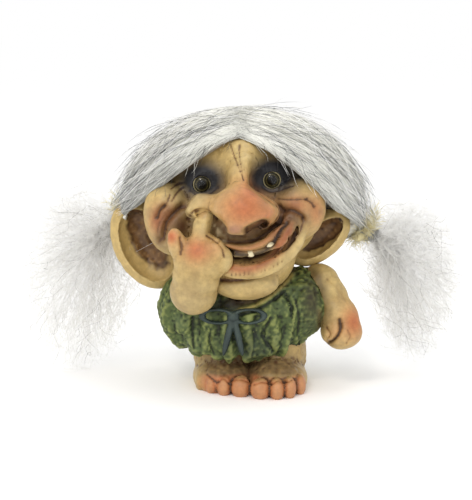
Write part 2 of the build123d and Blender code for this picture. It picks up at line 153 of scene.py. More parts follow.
def read(items, name, width, kind=np.float32):
    """One property of every item of a mesh, as rows."""
    values = np.empty(len(items) * width, kind)
    items.foreach_get(name, values)
    return values.reshape(-1, width)


def select_only(piece):
    """Makes one object the only selected and the active one."""
    bpy.ops.object.select_all(action="DESELECT")
    piece.hide_viewport = False
    piece.select_set(True)
    bpy.context.view_layer.objects.active = piece


def new_piece(name, mesh):
    """Puts a mesh into the scene as a piece at the origin."""
    piece = bpy.data.objects.new(name, mesh)
    bpy.context.scene.collection.objects.link(piece)
    return piece


def cast(node, name, spacing, sheet=FACE_SHEET):
    """A casting from a copy of a solid, with an even skin of points that is ready to be carved."""
    piece = new_piece(name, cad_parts[node].data.copy())
    piece.data.materials.clear()
    select_only(piece)
    bpy.ops.object.mode_set(mode="EDIT")
    bpy.ops.mesh.select_all(action="SELECT")
    bpy.ops.mesh.remove_doubles(threshold=0.004 * MM)
    bpy.ops.object.mode_set(mode="OBJECT")
    piece.data.remesh_voxel_size = spacing
    piece.data.remesh_voxel_adaptivity = 0
    bpy.ops.object.voxel_remesh()
    return Casting(piece, sheet)


def write_paint(mesh, shades):
    """Keeps a shade for each point as the mesh's own colours."""
    layer = mesh.color_attributes.new("paint", "FLOAT_COLOR", "POINT")
    rows = np.ones((len(shades), 4), np.float32)
    rows[:, :3] = shades
    layer.data.foreach_set("color", rows.ravel())


def settle(piece, material, slot, *nodes, body=FIGURE):
    """Gives a finished piece its material and its body, and hides the solids that it stands for."""
    piece.data.materials.clear()
    piece.data.materials.append(bpy.data.materials[material])
    piece.data.shade_smooth()
    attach(piece, body)
    if nodes:
        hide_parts(*nodes)


# Carving and painting


def ramp_up(values, start, span):
    """0 up to a start, then rising to 1 over a span."""
    return np.clip((values - start) / span, 0, 1)


def ramp_down(values, end, span):
    """1 until a span before an end, then falling to 0 at that end."""
    return np.clip((end - values) / span, 0, 1)


def band(values, middle, half):
    """1 at a middle, falling to 0 on both sides of it."""
    return np.clip(1 - np.abs(values - middle) / half, 0, 1)


def grain(points, size, seed=0):
    """Soft noise from -1 to 1 with bumps of about the given size."""
    cells = points / size
    base = np.floor(cells).astype(np.int64)
    share = cells - base
    share = share * share * (3 - 2 * share)
    total = np.zeros(len(points))
    for corner in product((0, 1), repeat=3):
        spot = base + corner
        key = spot[:, 0] * 73856093 ^ spot[:, 1] * 19349663 ^ spot[:, 2] * 83492791 ^ seed * 40503
        key = (key * 1103515245 + 12345) & 0x7FFFFFFF
        key = (key ^ key >> 13) * 69069 & 0x7FFFFFFF
        value = (key >> 9 & 0xFFFF) / 32767.5 - 1
        total += value * np.prod(np.where(corner, share, 1 - share), axis=1)
    return total


def on_sheet(sheet, path):
    """Points of a sheet's squares as millimetres of the front view."""
    left, top, square = sheet
    return np.array([(left + x * square, top - y * square) for x, y in path])


def smooth_line(path, steps=6):
    """A line through the given points with its corners rounded."""
    if len(path) < 3:
        return path
    ends = np.vstack((2 * path[0] - path[1], path, 2 * path[-1] - path[-2]))
    line = []
    for a, b, c, d in zip(ends, ends[1:], ends[2:], ends[3:]):
        for t in np.arange(steps) / steps:
            square = (2 * a - 5 * b + 4 * c - d) * t**2
            cube = (3 * b - a - 3 * c + d) * t**3
            line.append(0.5 * (2 * b + (c - a) * t + square + cube))
    return np.array(line + [path[-1]])


def line_distance(points, path):
    """How far each point lies from a line of straight runs."""
    best = np.full(len(points), np.inf)
    for start, end in zip(path, path[1:]):
        run = end - start
        share = np.clip((points - start) @ run / (run @ run), 0, 1)
        best = np.minimum(best, np.linalg.norm(points - start - share[:, None] * run, axis=1))
    return best


def seen_from_front(points):
    """Points in the front view, in millimetres from its middle."""
    offset = points - VIEW_TARGET
    depth = VIEW_DISTANCE - offset @ VIEW_BACK
    across = offset[:, 0] * VIEW_DISTANCE / depth
    rise = offset @ VIEW_UP * VIEW_DISTANCE / depth
    return np.stack((across, rise), axis=1)


class Casting:
    """A casting's skin while it is carved and painted: its points, normals, front view and paint."""

    def __init__(self, piece, sheet):
        self.piece = piece
        self.sheet = sheet
        self.points = read(piece.data.vertices, "co", 3).astype(float) / MM
        self.edges = read(piece.data.edges, "vertices", 2, np.int32)
        ends = self.edges.ravel()
        self.neighbours = np.bincount(ends, minlength=len(self.points)).clip(1)
        self.paint = None
        self.measure()

    def measure(self):
        """Finds the normals and the front view again after the points have moved."""
        mesh = self.piece.data
        mesh.vertices.foreach_set("co", (self.points * MM).astype(np.float32).ravel())
        mesh.update()
        self.normals = read(mesh.vertices, "normal", 3).astype(float)
        self.front = seen_from_front(self.points)
        self.facing = ramp_up(self.normals @ VIEW_BACK, -0.1, 0.5)

    def mean(self, values):
        """Each point's mean over its neighbours."""
        a, b = self.edges.T
        count = len(values)
        columns = []
        for column in values.T:
            columns.append(np.bincount(a, column[b], count) + np.bincount(b, column[a], count))
        return np.stack(columns, axis=1) / self.neighbours[:, None]

    def relax(self, rounds, strength=1.0):
        """Rounds the skin off, by more where strength is larger."""
        strength = np.broadcast_to(strength, len(self.points))[:, None]
        for _ in range(rounds):
            self.points += 0.5 * strength * (self.mean(self.points) - self.points)
        self.measure()

    def fill(self, rounds, mask=1.0):
        """Rounds creases out and leaves ridges as they are, by more where the mask is larger."""
        mask = np.broadcast_to(mask, len(self.points))
        for turn in range(rounds):
            if turn % 20 == 0:
                self.measure()
            step = 0.5 * (self.mean(self.points) - self.points)
            outward = np.einsum("ij,ij->i", step, self.normals) > 0
            self.points += step * (outward * mask)[:, None]
        self.measure()

    def hollow(self, rounds):
        """How far each point lies under the skin's own average, in millimetres."""
        level = self.points.copy()
        for _ in range(rounds):
            level = self.mean(level)
        return np.einsum("ij,ij->i", level - self.points, self.normals)

    def off_line(self, path):
        """How far each point lies from a line of the sheet."""
        return line_distance(self.front, smooth_line(on_sheet(self.sheet, path)))

    def stroke(self, path, width):
        """How strongly a stroke of the given width marks each point."""
        return np.exp(-((self.off_line(path) / width) ** 2)) * self.facing

    def near(self, path, width):
        """How near each point is to a line of the sheet, whatever way its skin faces."""
        return np.exp(-((self.off_line(path) / width) ** 4))

    def off_middle(self, middle, radius, squeeze):
        """Each point's distance from a middle on the sheet, in radii and squared; squeeze flattens it."""
        offset = (self.front - on_sheet(self.sheet, [middle])[0]) / np.array((radius, radius * squeeze))
        return np.sum(offset**2, axis=1)

    def zone(self, middle, radius, squeeze=1.0):
        """A round zone of the sheet with a flat middle, whatever way its skin faces."""
        return np.exp(-(self.off_middle(middle, radius, squeeze) ** 2))

    def spot(self, middle, radius, squeeze=1.0):
        """How strongly a soft round spot marks each point."""
        return np.exp(-self.off_middle(middle, radius, squeeze)) * self.facing

    def behind(self, depth):
        """1 where the skin lies behind a plane across the figure, 0 in front of it."""
        return ramp_up(self.points[:, 1], depth, 1.5)

    def rough(self, *layers):
        """Grain laid over grain: height, size and seed of each."""
        return sum(height * grain(self.points, size, seed) for height, size, seed in layers)

    def push(self, amount):
        """Moves the skin outwards by an amount in millimetres for each point."""
        self.points += self.normals * np.broadcast_to(amount, len(self.points))[:, None]

    def swell(self, amount):
        """Moves the skin outwards and measures it again."""
        self.push(amount)
        self.measure()

    def carve(self, strokes, mask=1.0):
        """Presses strokes into the skin: path, width and depth of each."""
        for path, width, depth in strokes:
            self.push(-depth * self.stroke(path, width) * mask)
        self.measure()

    def tint_spots(self, shade, spots, mask=1.0):
        """Airbrushes soft spots: middle, radius, squeeze and strength of each."""
        for middle, radius, squeeze, strength in spots:
            self.tint(shade, strength * self.spot(middle, radius, squeeze) * mask)

    def prime(self, shade, strength=1.0):
        """Covers the skin with one paint."""
        self.paint = np.tile(colour(shade) * strength, (len(self.points), 1))

    def tint(self, shade, mask, strength=1.0):
        """Lays paint over the skin where the mask is large."""
        mask = np.clip(mask, 0, 1)[:, None]
        self.paint = self.paint * (1 - mask) + colour(shade) * strength * mask

    def finish(self, material, slot, *nodes):
        """Keeps the paint and settles the finished piece."""
        write_paint(self.piece.data, self.paint)
        settle(self.piece, material, slot, *nodes)


# Materials


def set_inputs(tree, node, inputs):
    """Sets or links the inputs of a node."""
    for name, value in inputs.items():
        if isinstance(value, bpy.types.NodeSocket):
            tree.links.new(value, node.inputs[name])
        else:
            node.inputs[name].default_value = value


def add_node(tree, kind, settings=(), inputs=()):
    """Adds a node, with its settings, and its inputs set or linked."""
    node = tree.nodes.new(kind)
    for name, value in dict(settings).items():
        setattr(node, name, value)
    set_inputs(tree, node, dict(inputs))
    return node


def new_material(name):
    """An empty material, with its tree, its shader and its coordinates in metres."""
    material = bpy.data.materials.new(name)
    material.use_nodes = True
    tree = material.node_tree
    tree.nodes.clear()
    shader = add_node(tree, "ShaderNodeBsdfPrincipled")
    add_node(tree, "ShaderNodeOutputMaterial", inputs={"Surface": shader.outputs["BSDF"]})
    place = add_node(tree, "ShaderNodeTexCoord").outputs["Object"]
    return material, tree, shader, place


# The middle part of a noise, which is spread over a whole range
NOISE_RANGE = {"From Min": 0.3, "From Max": 0.7}


def mottled_paint(tree, blotch, darkest, lightest):
    """The mesh's own paint, darkened and lightened by a blotchy noise."""
    paint = add_node(tree, "ShaderNodeVertexColor", {"layer_name": "paint"}).outputs["Color"]
    change = add_node(
        tree, "ShaderNodeMapRange",
        inputs={"Value": blotch, **NOISE_RANGE, "To Min": darkest, "To Max": lightest},
    ).outputs["Result"]
    return add_node(
        tree, "ShaderNodeVectorMath", {"operation": "SCALE"}, {0: paint, "Scale": change}
    ).outputs["Vector"]


def painted_casting(name, grain_mm, mottle_mm, roughness, bump, mottle=0.16):
    """Hand-painted cast resin: satin paint over a faintly grainy casting, mottled by the brush."""
    material, tree, shader, place = new_material(name)
    blotch = add_node(
        tree, "ShaderNodeTexNoise",
        inputs={"Vector": place, "Scale": 1 / (mottle_mm * MM), "Detail": 4.0, "Roughness": 0.62},
    ).outputs["Fac"]
    fine = add_node(
        tree, "ShaderNodeTexNoise",
        inputs={"Vector": place, "Scale": 1 / (grain_mm * MM), "Detail": 3.0, "Roughness": 0.6},
    ).outputs["Fac"]
    gloss = add_node(
        tree, "ShaderNodeMapRange",
        inputs={"Value": blotch, **NOISE_RANGE, "To Min": roughness - 0.08, "To Max": roughness + 0.1},
    ).outputs["Result"]
    relief = add_node(
        tree, "ShaderNodeBump", inputs={"Height": fine, "Strength": bump, "Distance": 0.12 * MM}
    ).outputs["Normal"]
    set_inputs(tree, shader, {
        "Base Color": mottled_paint(tree, blotch, 1 - mottle, 1 + mottle), "Roughness": gloss,
        "Normal": relief, "IOR": 1.5, "Specular IOR Level": 0.35,
    })
    return material


def glossy_paint(name, coat_roughness, grain_mm):
    """Gloss enamel over a small cast or turned piece: smooth, with a faint brush texture."""
    tree = painted_casting(name, grain_mm, grain_mm * 4, 0.3, 0.1, 0.06).node_tree
    set_inputs(tree, tree.nodes["Principled BSDF"], {
        "Coat Weight": 0.4, "Coat Roughness": coat_roughness, "Coat IOR": 1.4, "Specular IOR Level": 0.2,
    })


def wool_strands(name, roughness, sheen):
    """Sheep's wool: fine scaly fibres, soft and nearly matt, each of its own shade."""
    _, tree, shader, place = new_material(name)
    lumps = add_node(
        tree, "ShaderNodeTexNoise", inputs={"Vector": place, "Scale": 1 / (1.6 * MM), "Detail": 2.0}
    ).outputs["Fac"]
    set_inputs(tree, shader, {
        "Base Color": mottled_paint(tree, lumps, 0.92, 1.06), "Roughness": roughness, "IOR": 1.54,
        "Sheen Weight": sheen, "Sheen Roughness": 0.4,
    })


def eye_crystal():
    """Clear pressed glass, fire polished: sharp reflections, and thin enough to see straight through."""
    _, tree, shader, place = new_material("pressed_eye_glass")
    ripple = add_node(
        tree, "ShaderNodeTexNoise", inputs={"Vector": place, "Scale": 1 / (2.5 * MM), "Detail": 1.0}
    ).outputs["Fac"]
    relief = add_node(
        tree, "ShaderNodeBump", inputs={"Height": ripple, "Strength": 0.04, "Distance": 0.1 * MM}
    ).outputs["Normal"]
    set_inputs(tree, shader, {
        "Normal": relief, "Base Color": (1, 1, 1, 1), "Transmission Weight": 1.0, "Roughness": 0.02,
        "IOR": 1.5, "Alpha": 0.05,
    })


def turned_wood():
    """Plain birch dowel: pale, with fine grain along its length."""
    material, tree, shader, place = new_material("birch_dowel")
    stretch = add_node(
        tree, "ShaderNodeMapping", inputs={"Vector": place, "Scale": (1, 1, 0.08)}
    ).outputs["Vector"]
    figure = add_node(
        tree, "ShaderNodeTexNoise", inputs={"Vector": stretch, "Scale": 1 / (0.8 * MM), "Detail": 4.0}
    ).outputs["Fac"]
    shade = add_node(
        tree, "ShaderNodeMix", {"data_type": "RGBA"},
        {"Factor": figure, 6: (*linear("#C9A06A"), 1), 7: (*linear("#A87A48"), 1)},
    ).outputs[2]
    set_inputs(tree, shader, {"Base Color": shade, "Roughness": 0.6})
    return material


def pale_hide():
    """Thin tanned sheepskin: soft, matt and finely pitted by its hair roots."""
    material, tree, shader, place = new_material("pale_sheepskin")
    pits = add_node(
        tree, "ShaderNodeTexVoronoi", inputs={"Vector": place, "Scale": 1 / (0.7 * MM)}
    ).outputs["Distance"]
    shade = add_node(
        tree, "ShaderNodeMix", {"data_type": "RGBA"},
        {"Factor": pits, 6: (*linear("#A59684"), 1), 7: (*linear("#CFC4B2"), 1)},
    ).outputs[2]
    set_inputs(tree, shader, {"Base Color": shade, "Roughness": 0.85})
    return material


# Castings

# The material and the slot of the painted skin, and its palest paint
SKIN = ("painted_resin_skin", "painted_casting_skin")
SKIN_LIGHT = "#CBB57F"

# Lines of the mouth, the lips and the chin on the face's sheet
MOUTH = ((762, 730), (847, 746), (939, 750), (1032, 718), (1084, 670))
MOUTH_CORNER = ((1084, 670), (1123, 615), (1153, 566), (1190, 517))
UPPER_LIP = ((748, 690), (850, 703), (950, 692), (1040, 648), (1110, 578), (1170, 492))
LIP_ROLL = ((1224, 526), (1187, 588), (1150, 640), (1122, 678))
LOWER_LIP = ((778, 836), (880, 850), (980, 828), (1070, 770), (1150, 682), (1212, 580))
CHIN_FOLD = (
    (715, 930), (800, 936), (880, 926), (960, 902), (1040, 862), (1110, 792), (1190, 690), (1250, 590),
)

# Strokes to be carved: the path, width and depth of each. First, fine wrinkles above the nose
BROW_LINES = (
    (((786, -40), (812, 40), (842, 120), (882, 208)), 0.3, 0.26),
    (((852, -40), (850, 50), (864, 130), (886, 214)), 0.3, 0.26),
    (((800, 62), (850, 46), (892, 40)), 0.26, 0.16),
    (((824, 108), (870, 92)), 0.26, 0.16),
    (((844, 152), (884, 140)), 0.26, 0.16),
)

# Folds of the cheeks, lids and chin, which lie behind the nose
FACE_FOLDS = (
    (((700, 640), (780, 650), (880, 655), (980, 630), (1060, 580), (1130, 510), (1180, 450)), 0.6, 0.5),
    (CHIN_FOLD, 0.55, 0.9),
    (((1140, 432), (1220, 432), (1290, 466), (1312, 496)), 0.8, 1.4),
    (((1312, 496), (1292, 560), (1240, 640)), 0.5, 0.5),
    (((1335, 350), (1370, 376), (1386, 402)), 0.7, 0.75),
    (((1130, 346), (1200, 352), (1330, 350)), 0.35, 0.3),
    (((312, 395), (276, 430), (256, 482)), 0.75, 1.3),
    (((450, 400), (400, 440), (340, 500), (312, 570), (300, 640)), 1.0, 1.8),
    (((352, 430), (292, 500), (264, 580), (276, 660)), 0.45, 0.45),
    (((325, 580), (400, 586), (462, 622)), 0.4, 0.5),
    (((356, 320), (336, 372), (310, 400)), 0.4, 0.4),
    (((1128, 402), (1142, 450), (1122, 522), (1084, 568)), 0.7, 1.1),
    (((498, 290), (560, 322), (640, 306), (694, 268)), 0.4, 0.3),
    (((1020, 262), (1070, 292), (1140, 282), (1232, 250)), 0.45, 0.45),
    (((450, 262), (410, 302), (368, 362)), 0.35, 0.3),
    (((460, 232), (412, 240), (368, 272)), 0.35, 0.3),
)

# The crease of the arch that the finger makes of the nose's wing
ARCH_EDGE = (((486, 488), (520, 446), (585, 428), (640, 448), (690, 490)), 0.6, 0.45)

# The open nostril, and places of the nose that are rounded off
NOSTRIL = ((918, 584), (960, 562), (1008, 538), (1028, 534))
NOSTRIL_DEPTH = 5.0
ARCH_ROOT = (647, 385)
BRIDGE_SIDE = (765, 150)
WING_END = (1085, 556)
NOSE_TIP = (825, 597)

# Heights of the front view, and how far forward the nose leaves the face at each
NOSE_ROOT = ((16.0, 20.0), (-16.8, -13.2))

# The nose is drawn in towards its middle on each side, by a share at each height of the front view
NOSE_MIDDLE = 0.7
NOSE_DRAWN_IN = {
    "right": ((3.5, 0.0), (5.0, 0.24), (6.2, 0.4), (8.2, 0.29), (9.9, 0.08), (11.0, 0.0)),
    "left": (
        (3.0, 0.0), (5.0, 0.26), (6.7, 0.24), (8.2, 0.19), (10.4, 0.1), (12.1, 0.11), (14.1, 0.27),
        (16.1, 0.4), (18.5, 0.52), (23.0, 0.5), (24.7, 0.45), (26.5, 0.2), (28.0, 0.0),
    ),
}

# Middles of the eyes and of the brow on the face's sheet
EYES = ((590, 240), (1085, 208))
BROW = (846, 0)

# How far the airbrush reaches from each eye, across, in depth and up, and how high its middle is set
EYE_SHADOWS = {"right": (7.6, 12.0, 5.6), "left": (8.6, 13.0, 5.8)}
EYE_SHADOW_LIFT = (0, 0, 1.4)

# Airbrushed spots: the middle on the sheet, radius, squeeze and strength of each
FACE_BLUSH = (
    ((890, 420), 8.4, 0.78, 0.9), ((930, 290), 3.4, 1.2, 0.7), ((1060, 470), 3.0, 1.1, 0.6),
    ((1250, 395), 4.2, 0.8, 0.75), ((1400, 440), 2.6, 1.8, 0.6), ((268, 500), 2.4, 1.8, 0.85),
    ((352, 470), 2.6, 1.3, 0.7),
)
NOSE_FLUSH = (((815, 575), 2.6, 0.7, 0.6),)
FACE_WASH = (
    ((840, 605), 5.4, 0.36, 0.6), ((1010, 585), 2.6, 0.6, 0.6), ((690, 570), 2.2, 1.0, 0.7),
    ((1190, 500), 1.8, 2.0, 0.75), ((1265, 530), 1.4, 1.6, 0.6), ((1230, 478), 2.0, 0.9, 0.7),
)
ARCH_WASH = (((440, 545), 3.4, 1.2, 1.0), ((590, 400), 1.8, 0.5, 0.7))
HAND_BLUSH = (
    ((545, 715), 4.2, 0.9, 0.9), ((365, 618), 2.4, 1.0, 0.95), ((690, 700), 2.6, 1.0, 0.3),
    ((590, 450), 1.6, 1.0, 0.25),
)
FIST_BLUSH = (((1450, 500), 3.8, 1.3, 0.9), ((1300, 580), 3.0, 1.0, 0.35))

# The arch over the finger: how far forward and aside it begins, and its heights in the front view
ARCH_FORWARD = -14.5
ARCH_ASIDE = -5.5
ARCH_HEIGHTS = (8.5, 17.8)

# Where it begins to bend down, its reach from there, how far its end drops and draws in, and the
# height that its root is raised towards
ARCH_BEND = -11.0
ARCH_REACH = 4.3
ARCH_DROP = 2.2
ARCH_TUCK = 0.9
ARCH_LEVEL = 13.0

# Upright wrinkles of the lower lip: how many, where the first begins, how far apart they are, their
# upper and lower ends, their lean, and where and how steeply the lip rises
LIP_WRINKLES = 13
LIP_WRINKLE_START = 800
LIP_WRINKLE_STEP = 30
LIP_WRINKLE_ENDS = (806, 896)
LIP_WRINKLE_LEAN = 6
LIP_RISE_START = 860
LIP_RISE = 0.0011


def bend_arch(head):
    """Bends the stretched wing of the nose into an arch over the finger."""
    across, rise = head.front.T
    low, high = ARCH_HEIGHTS
    wing = ramp_down(head.points[:, 1], ARCH_FORWARD, 3) * ramp_down(across, ARCH_ASIDE, 2)
    wing *= ramp_up(rise, low, 1) * ramp_down(rise, high, 1)
    outer = ramp_down(across, ARCH_BEND, ARCH_REACH)
    lift = 0.4 * np.clip(ARCH_LEVEL - rise, 0, None) * (1 - outer)
    head.points[:, 2] += wing * (lift - ARCH_DROP * outer**1.5)
    head.points[:, 0] += wing * ARCH_TUCK * outer
    head.measure()


def shape_nose(head):
    """Draws the nose in to its form from the front, and opens the nostril that is not in use."""
    bend_arch(head)
    forward = ramp_down(head.points[:, 1], np.interp(head.front[:, 1], *NOSE_ROOT), 3)
    for side, profile in NOSE_DRAWN_IN.items():
        share = np.interp(head.front[:, 1], *np.transpose(profile))
        across = SIDES[side] * np.clip(SIDES[side] * (head.front[:, 0] - NOSE_MIDDLE), 0, None)
        head.points[:, 0] -= share * forward * across
    head.measure()
    head.relax(5, forward)
    opening = head.near(NOSTRIL, 1.45) * ramp_down(head.points[:, 1], -21, 2)
    head.points[:, 1] += NOSTRIL_DEPTH * opening
    head.measure()
    head.relax(3, head.near(NOSTRIL, 2.4))
    head.relax(14, head.zone(WING_END, 2.2) + head.zone(NOSE_TIP, 2.6))


def build_head():
    """Carves the face: lips, folds, lids and wrinkles, then blush, wash, eye shadow, and painted shade and
    light.
    """
    head = cast("head", "head_casting", sizes().skin_detail)
    head.relax(4)
    open_places = head.near(MOUTH + MOUTH_CORNER, 2.2)
    for eye in EYES:
        open_places += head.zone(eye, 4.6)
    firm = np.clip(1 - open_places, 0, 1)
    head.fill(40, firm)
    head.fill(150, firm * (1 - head.behind(-18)))
    nose_sides = head.zone(ARCH_ROOT, 3.6) + head.zone(WING_END, 3.4)
    head.fill(200, nose_sides + firm * head.zone(BRIDGE_SIDE, 4.2, 1.4))
    head.relax(3)
    shape_nose(head)
    head.fill(220, firm * head.zone(BROW, 8.0, 0.9))
    head.relax(60, head.zone(BROW, 7.0, 1.1))
    lips = 0.7 * head.stroke(UPPER_LIP, 1.0) + 0.9 * head.stroke(LOWER_LIP, 1.7)
    head.swell(lips + 0.5 * head.stroke(LIP_ROLL, 0.9))
    head.carve([(MOUTH, 1.2, 1.5), (MOUTH_CORNER, 0.5, 0.9)])
    head.carve(FACE_FOLDS, head.behind(-20))
    head.carve((ARCH_EDGE, *BROW_LINES))
    wrinkles = []
    top, foot = LIP_WRINKLE_ENDS
    for step in range(LIP_WRINKLES):
        x = LIP_WRINKLE_START + LIP_WRINKLE_STEP * step
        rise = LIP_RISE * max(x - LIP_RISE_START, 0) ** 2
        wrinkles.append((((x, top - rise), (x - LIP_WRINKLE_LEAN, foot - rise)), 0.22, 0.2))
    head.carve(wrinkles)
    head.swell(head.rough((0.1, 2.4, 3), (0.05, 0.9, 4)))
    head.relax(1)
    paint_head(head)
    head.finish(*SKIN, "head")


def paint_head(head):
    """Lays the skin colours on the carved head, light ones first, with painted shade and a painted light
    among them.
    """
    fine = head.hollow(3)
    broad = head.hollow(16)
    face = head.behind(-21)
    head.prime("skin")
    head.tint(SKIN_LIGHT, 0.6 * ramp_down(broad, 0, 0.25))
    head.tint_spots("peach", FACE_BLUSH)
    head.tint_spots("#A87468", NOSE_FLUSH)
    head.tint("peach", 0.65 * head.stroke(UPPER_LIP, 1.15) * head.behind(-24))
    head.tint("peach", 0.65 * head.stroke(LIP_ROLL, 0.9))
    head.tint("peach", 0.8 * head.stroke(LOWER_LIP, 1.6))
    # Painted shade: the lower lip is darkened, as the light falls off towards the bottom
    head.tint("wash_and_shade", 0.2 * head.stroke(LOWER_LIP, 1.6))
    head.tint_spots("wash_and_shade", FACE_WASH, face)
    head.tint_spots("wash_and_shade", ARCH_WASH, head.behind(-19))
    # Painted shade: a soft brown halo round each fold
    for path, width, depth in FACE_FOLDS:
        head.tint("wash_and_shade", 0.38 * depth * head.stroke(path, 2.4 * width) * face)
    head.tint("wash_and_shade", 0.95 * ramp_up(fine, 0.01, 0.06))
    head.tint("wash_and_shade", 0.75 * ramp_up(broad, 0.06, 0.4))
    head.tint("wash_and_shade", head.rough((0.3, 3.2, 5)))
    # Painted shade where the skin turns away from the front
    head.tint("wash_and_shade", 0.4 * (1 - head.facing) ** 2)
    # Painted shade: the darkest colour in the mouth's slit and its corner crease
    head.tint("deep", 0.95 * head.stroke(MOUTH, 1.0) + 0.9 * head.stroke(MOUTH_CORNER, 0.42))
    # Painted shade inside the open nostril
    head.tint("#3A2418", 0.95 * head.near(NOSTRIL, 1.5) * (1 - head.behind(-20)))
    head.tint("deep", 0.55 * ramp_up(fine, 0.1, 0.15))
    speckle = ramp_up(grain(head.points, 1.1, 71), -0.25, 1)
    head.tint("#8B6A44", 0.85 * speckle * head.spot((800, 618), 7.0, 0.36) * head.behind(-25))
    # Painted light: pale flecks under the nose that lift the shade there
    painted_light_flecks = ramp_up(head.rough((1.8, 0.9, 72)), -0.3, 1)
    head.tint("#E6CFA0", 0.95 * painted_light_flecks * head.spot((690, 572), 2.8, 1.7) * head.behind(-20))
    aside = ramp_up(np.abs(head.front[:, 0] - NOSE_MIDDLE), 2.4, 1.6)
    for side, reach in EYE_SHADOWS.items():
        low, high = (np.array(corner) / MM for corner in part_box(f"{side}_iris"))
        offset = (head.points - (low + high) / 2 - EYE_SHADOW_LIFT) / reach
        head.tint("shadow", 1.2 * np.exp(-np.sum(offset**2, axis=1) ** 1.5) * aside)


# Middle, half width and height, tilt, rim width and the cup's shift, across and along, of each ear
EARS = {
    "right": (np.array((-29.6, 4.0, 39.6)), (9.6, 14.0), -27.0, 4.6, (0.9, 1.0)),
    "left": (np.array((19.6, 1.0, 42.0)), (6.4, 10.6), 50.0, 3.4, (-0.3, 1.5)),
}


def build_ears():
    """Carves the cupped ears: a plain rim, and wrinkled brown hollows."""
    for side, (middle, half, tilt, rim, shift) in EARS.items():
        ear = cast(f"{side}_ear", f"{side}_ear_casting", sizes().skin_detail * 0.8)
        ear.relax(4)
        turn = math.radians(tilt)
        offset = ear.points - middle
        across = offset[:, 0] * math.cos(turn) - offset[:, 2] * math.sin(turn)
        along = offset[:, 0] * math.sin(turn) + offset[:, 2] * math.cos(turn)
        cup_across = (across - shift[0]) / (half[0] - rim)
        cup_along = (along - shift[1]) / (half[1] - rim)
        reach = np.hypot(cup_across, cup_along) + ear.rough((0.1, 2.6, 61), (0.06, 1.0, 62))
        cup = ramp_down(reach, 1.06, 0.2) * ear.facing
        furrows = np.stack((across, offset[:, 1], 0.5 * along), axis=1)
        wrinkle = grain(furrows, 3.4, 7) + 0.7 * grain(furrows, 1.7, 8) + ear.rough((0.3, 0.8, 6))
        ear.swell(cup * (0.7 * wrinkle - 0.4) + ear.rough((0.14, 2.0, 9)))
        ear.relax(1)
        fine = ear.hollow(4)
        ear.prime("skin")
        ear.tint("#CDB57A", 0.7 * ramp_down(ear.hollow(14), 0, 0.25))
        ear.tint("#7A5A37", cup)
        ear.tint("#A98553", 0.8 * cup * ramp_down(fine, 0, 0.1))
        ear.tint("wash_and_shade", 0.8 * ramp_up(fine, 0.02, 0.1))
        ear.tint("deep", 0.9 * cup * ramp_up(fine, 0.08, 0.12))
        ear.tint("deep", 0.7 * cup * ramp_up(ear.rough((0.8, 5.0, 10)), 0.05, 1))
        # Painted shade under the inner edge of the rim
        ear.tint("deep", 0.75 * band(reach, 0.92, 0.16) * cup)
        ear.finish(*SKIN, f"{side}_ear")


# Creases of the raised hand
HAND_CREASES = (
    (((432, 620), (440, 690), (430, 740)), 0.5, 0.7),
    (((690, 650), (730, 700), (742, 760)), 0.4, 0.4),
    (((620, 610), (690, 650), (720, 640)), 0.4, 0.45),
    (((540, 505), (590, 520), (640, 512)), 0.3, 0.14),
    (((330, 640), (370, 652), (410, 640)), 0.25, 0.12),
)

# The raised finger from its tip, which is thickened all round
FINGER = ((592, 465), (555, 606))

# The finger's left side is drawn in towards its middle, by a share at each height of the front view
FINGER_MIDDLE = -9.1
FINGER_DRAWN_IN = ((3.4, 0.0), (5.0, 0.42), (7.0, 0.36), (9.9, 0.2), (12.5, 0.12))

# The fold that the curled fingers make, and the shaded inner side of the hanging arm
FIST_FOLD = ((1340, 486), (1346, 540), (1326, 600), (1282, 646), (1222, 674))
INNER_ARM = ((1140, 130), (1196, 240), (1215, 380), (1208, 520))
FIST_CREASES = (
    (FIST_FOLD, 0.6, 1.1),
    (((1240, 545), (1262, 590), (1240, 640)), 0.5, 0.55),
    (((1400, 560), (1420, 610), (1390, 660)), 0.4, 0.3),
    (((1250, 180), (1330, 260), (1400, 360)), 0.5, 0.2),
)


def carve_hand():
    """The raised arm, with its finger in the nostril."""
    arm = cast("right_arm", "right_arm_casting", sizes().skin_detail)
    arm.relax(3)
    arm.fill(70)
    arm.swell(0.9 * arm.near(FINGER, 2.8))
    across, rise = arm.front.T
    drawn_in = np.interp(rise, *np.transpose(FINGER_DRAWN_IN))
    arm.points[:, 0] -= drawn_in * np.clip(across - FINGER_MIDDLE, 0, None)
    arm.measure()
    arm.relax(3)
    arm.carve(HAND_CREASES)
    arm.swell(arm.rough((0.12, 2.6, 11), (0.05, 0.9, 12)))
    arm.relax(1)
    # The arm's skin is painted a little darker: painted shade, as the light falls off towards the bottom
    arm.prime("skin", 0.92)
    arm.tint(SKIN_LIGHT, 0.5 * ramp_down(arm.hollow(16), 0, 0.25))
    arm.tint("#A9946A", 0.6 * arm.spot((480, 1080), 7.0))
    arm.tint_spots("peach", HAND_BLUSH)
    arm.tint("wash_and_shade", 0.85 * ramp_up(arm.hollow(3), 0.015, 0.08))
    arm.tint("wash_and_shade", 0.5 * ramp_up(arm.hollow(16), 0.1, 0.45))
    arm.tint("wash_and_shade", 0.3 * ramp_up(grain(arm.points, 3.0, 13), 0.1, 1))
    # Painted shade where the skin turns away from the front
    arm.tint("wash_and_shade", 0.35 * (1 - arm.facing) ** 2)
    arm.finish(*SKIN, "right_arm")


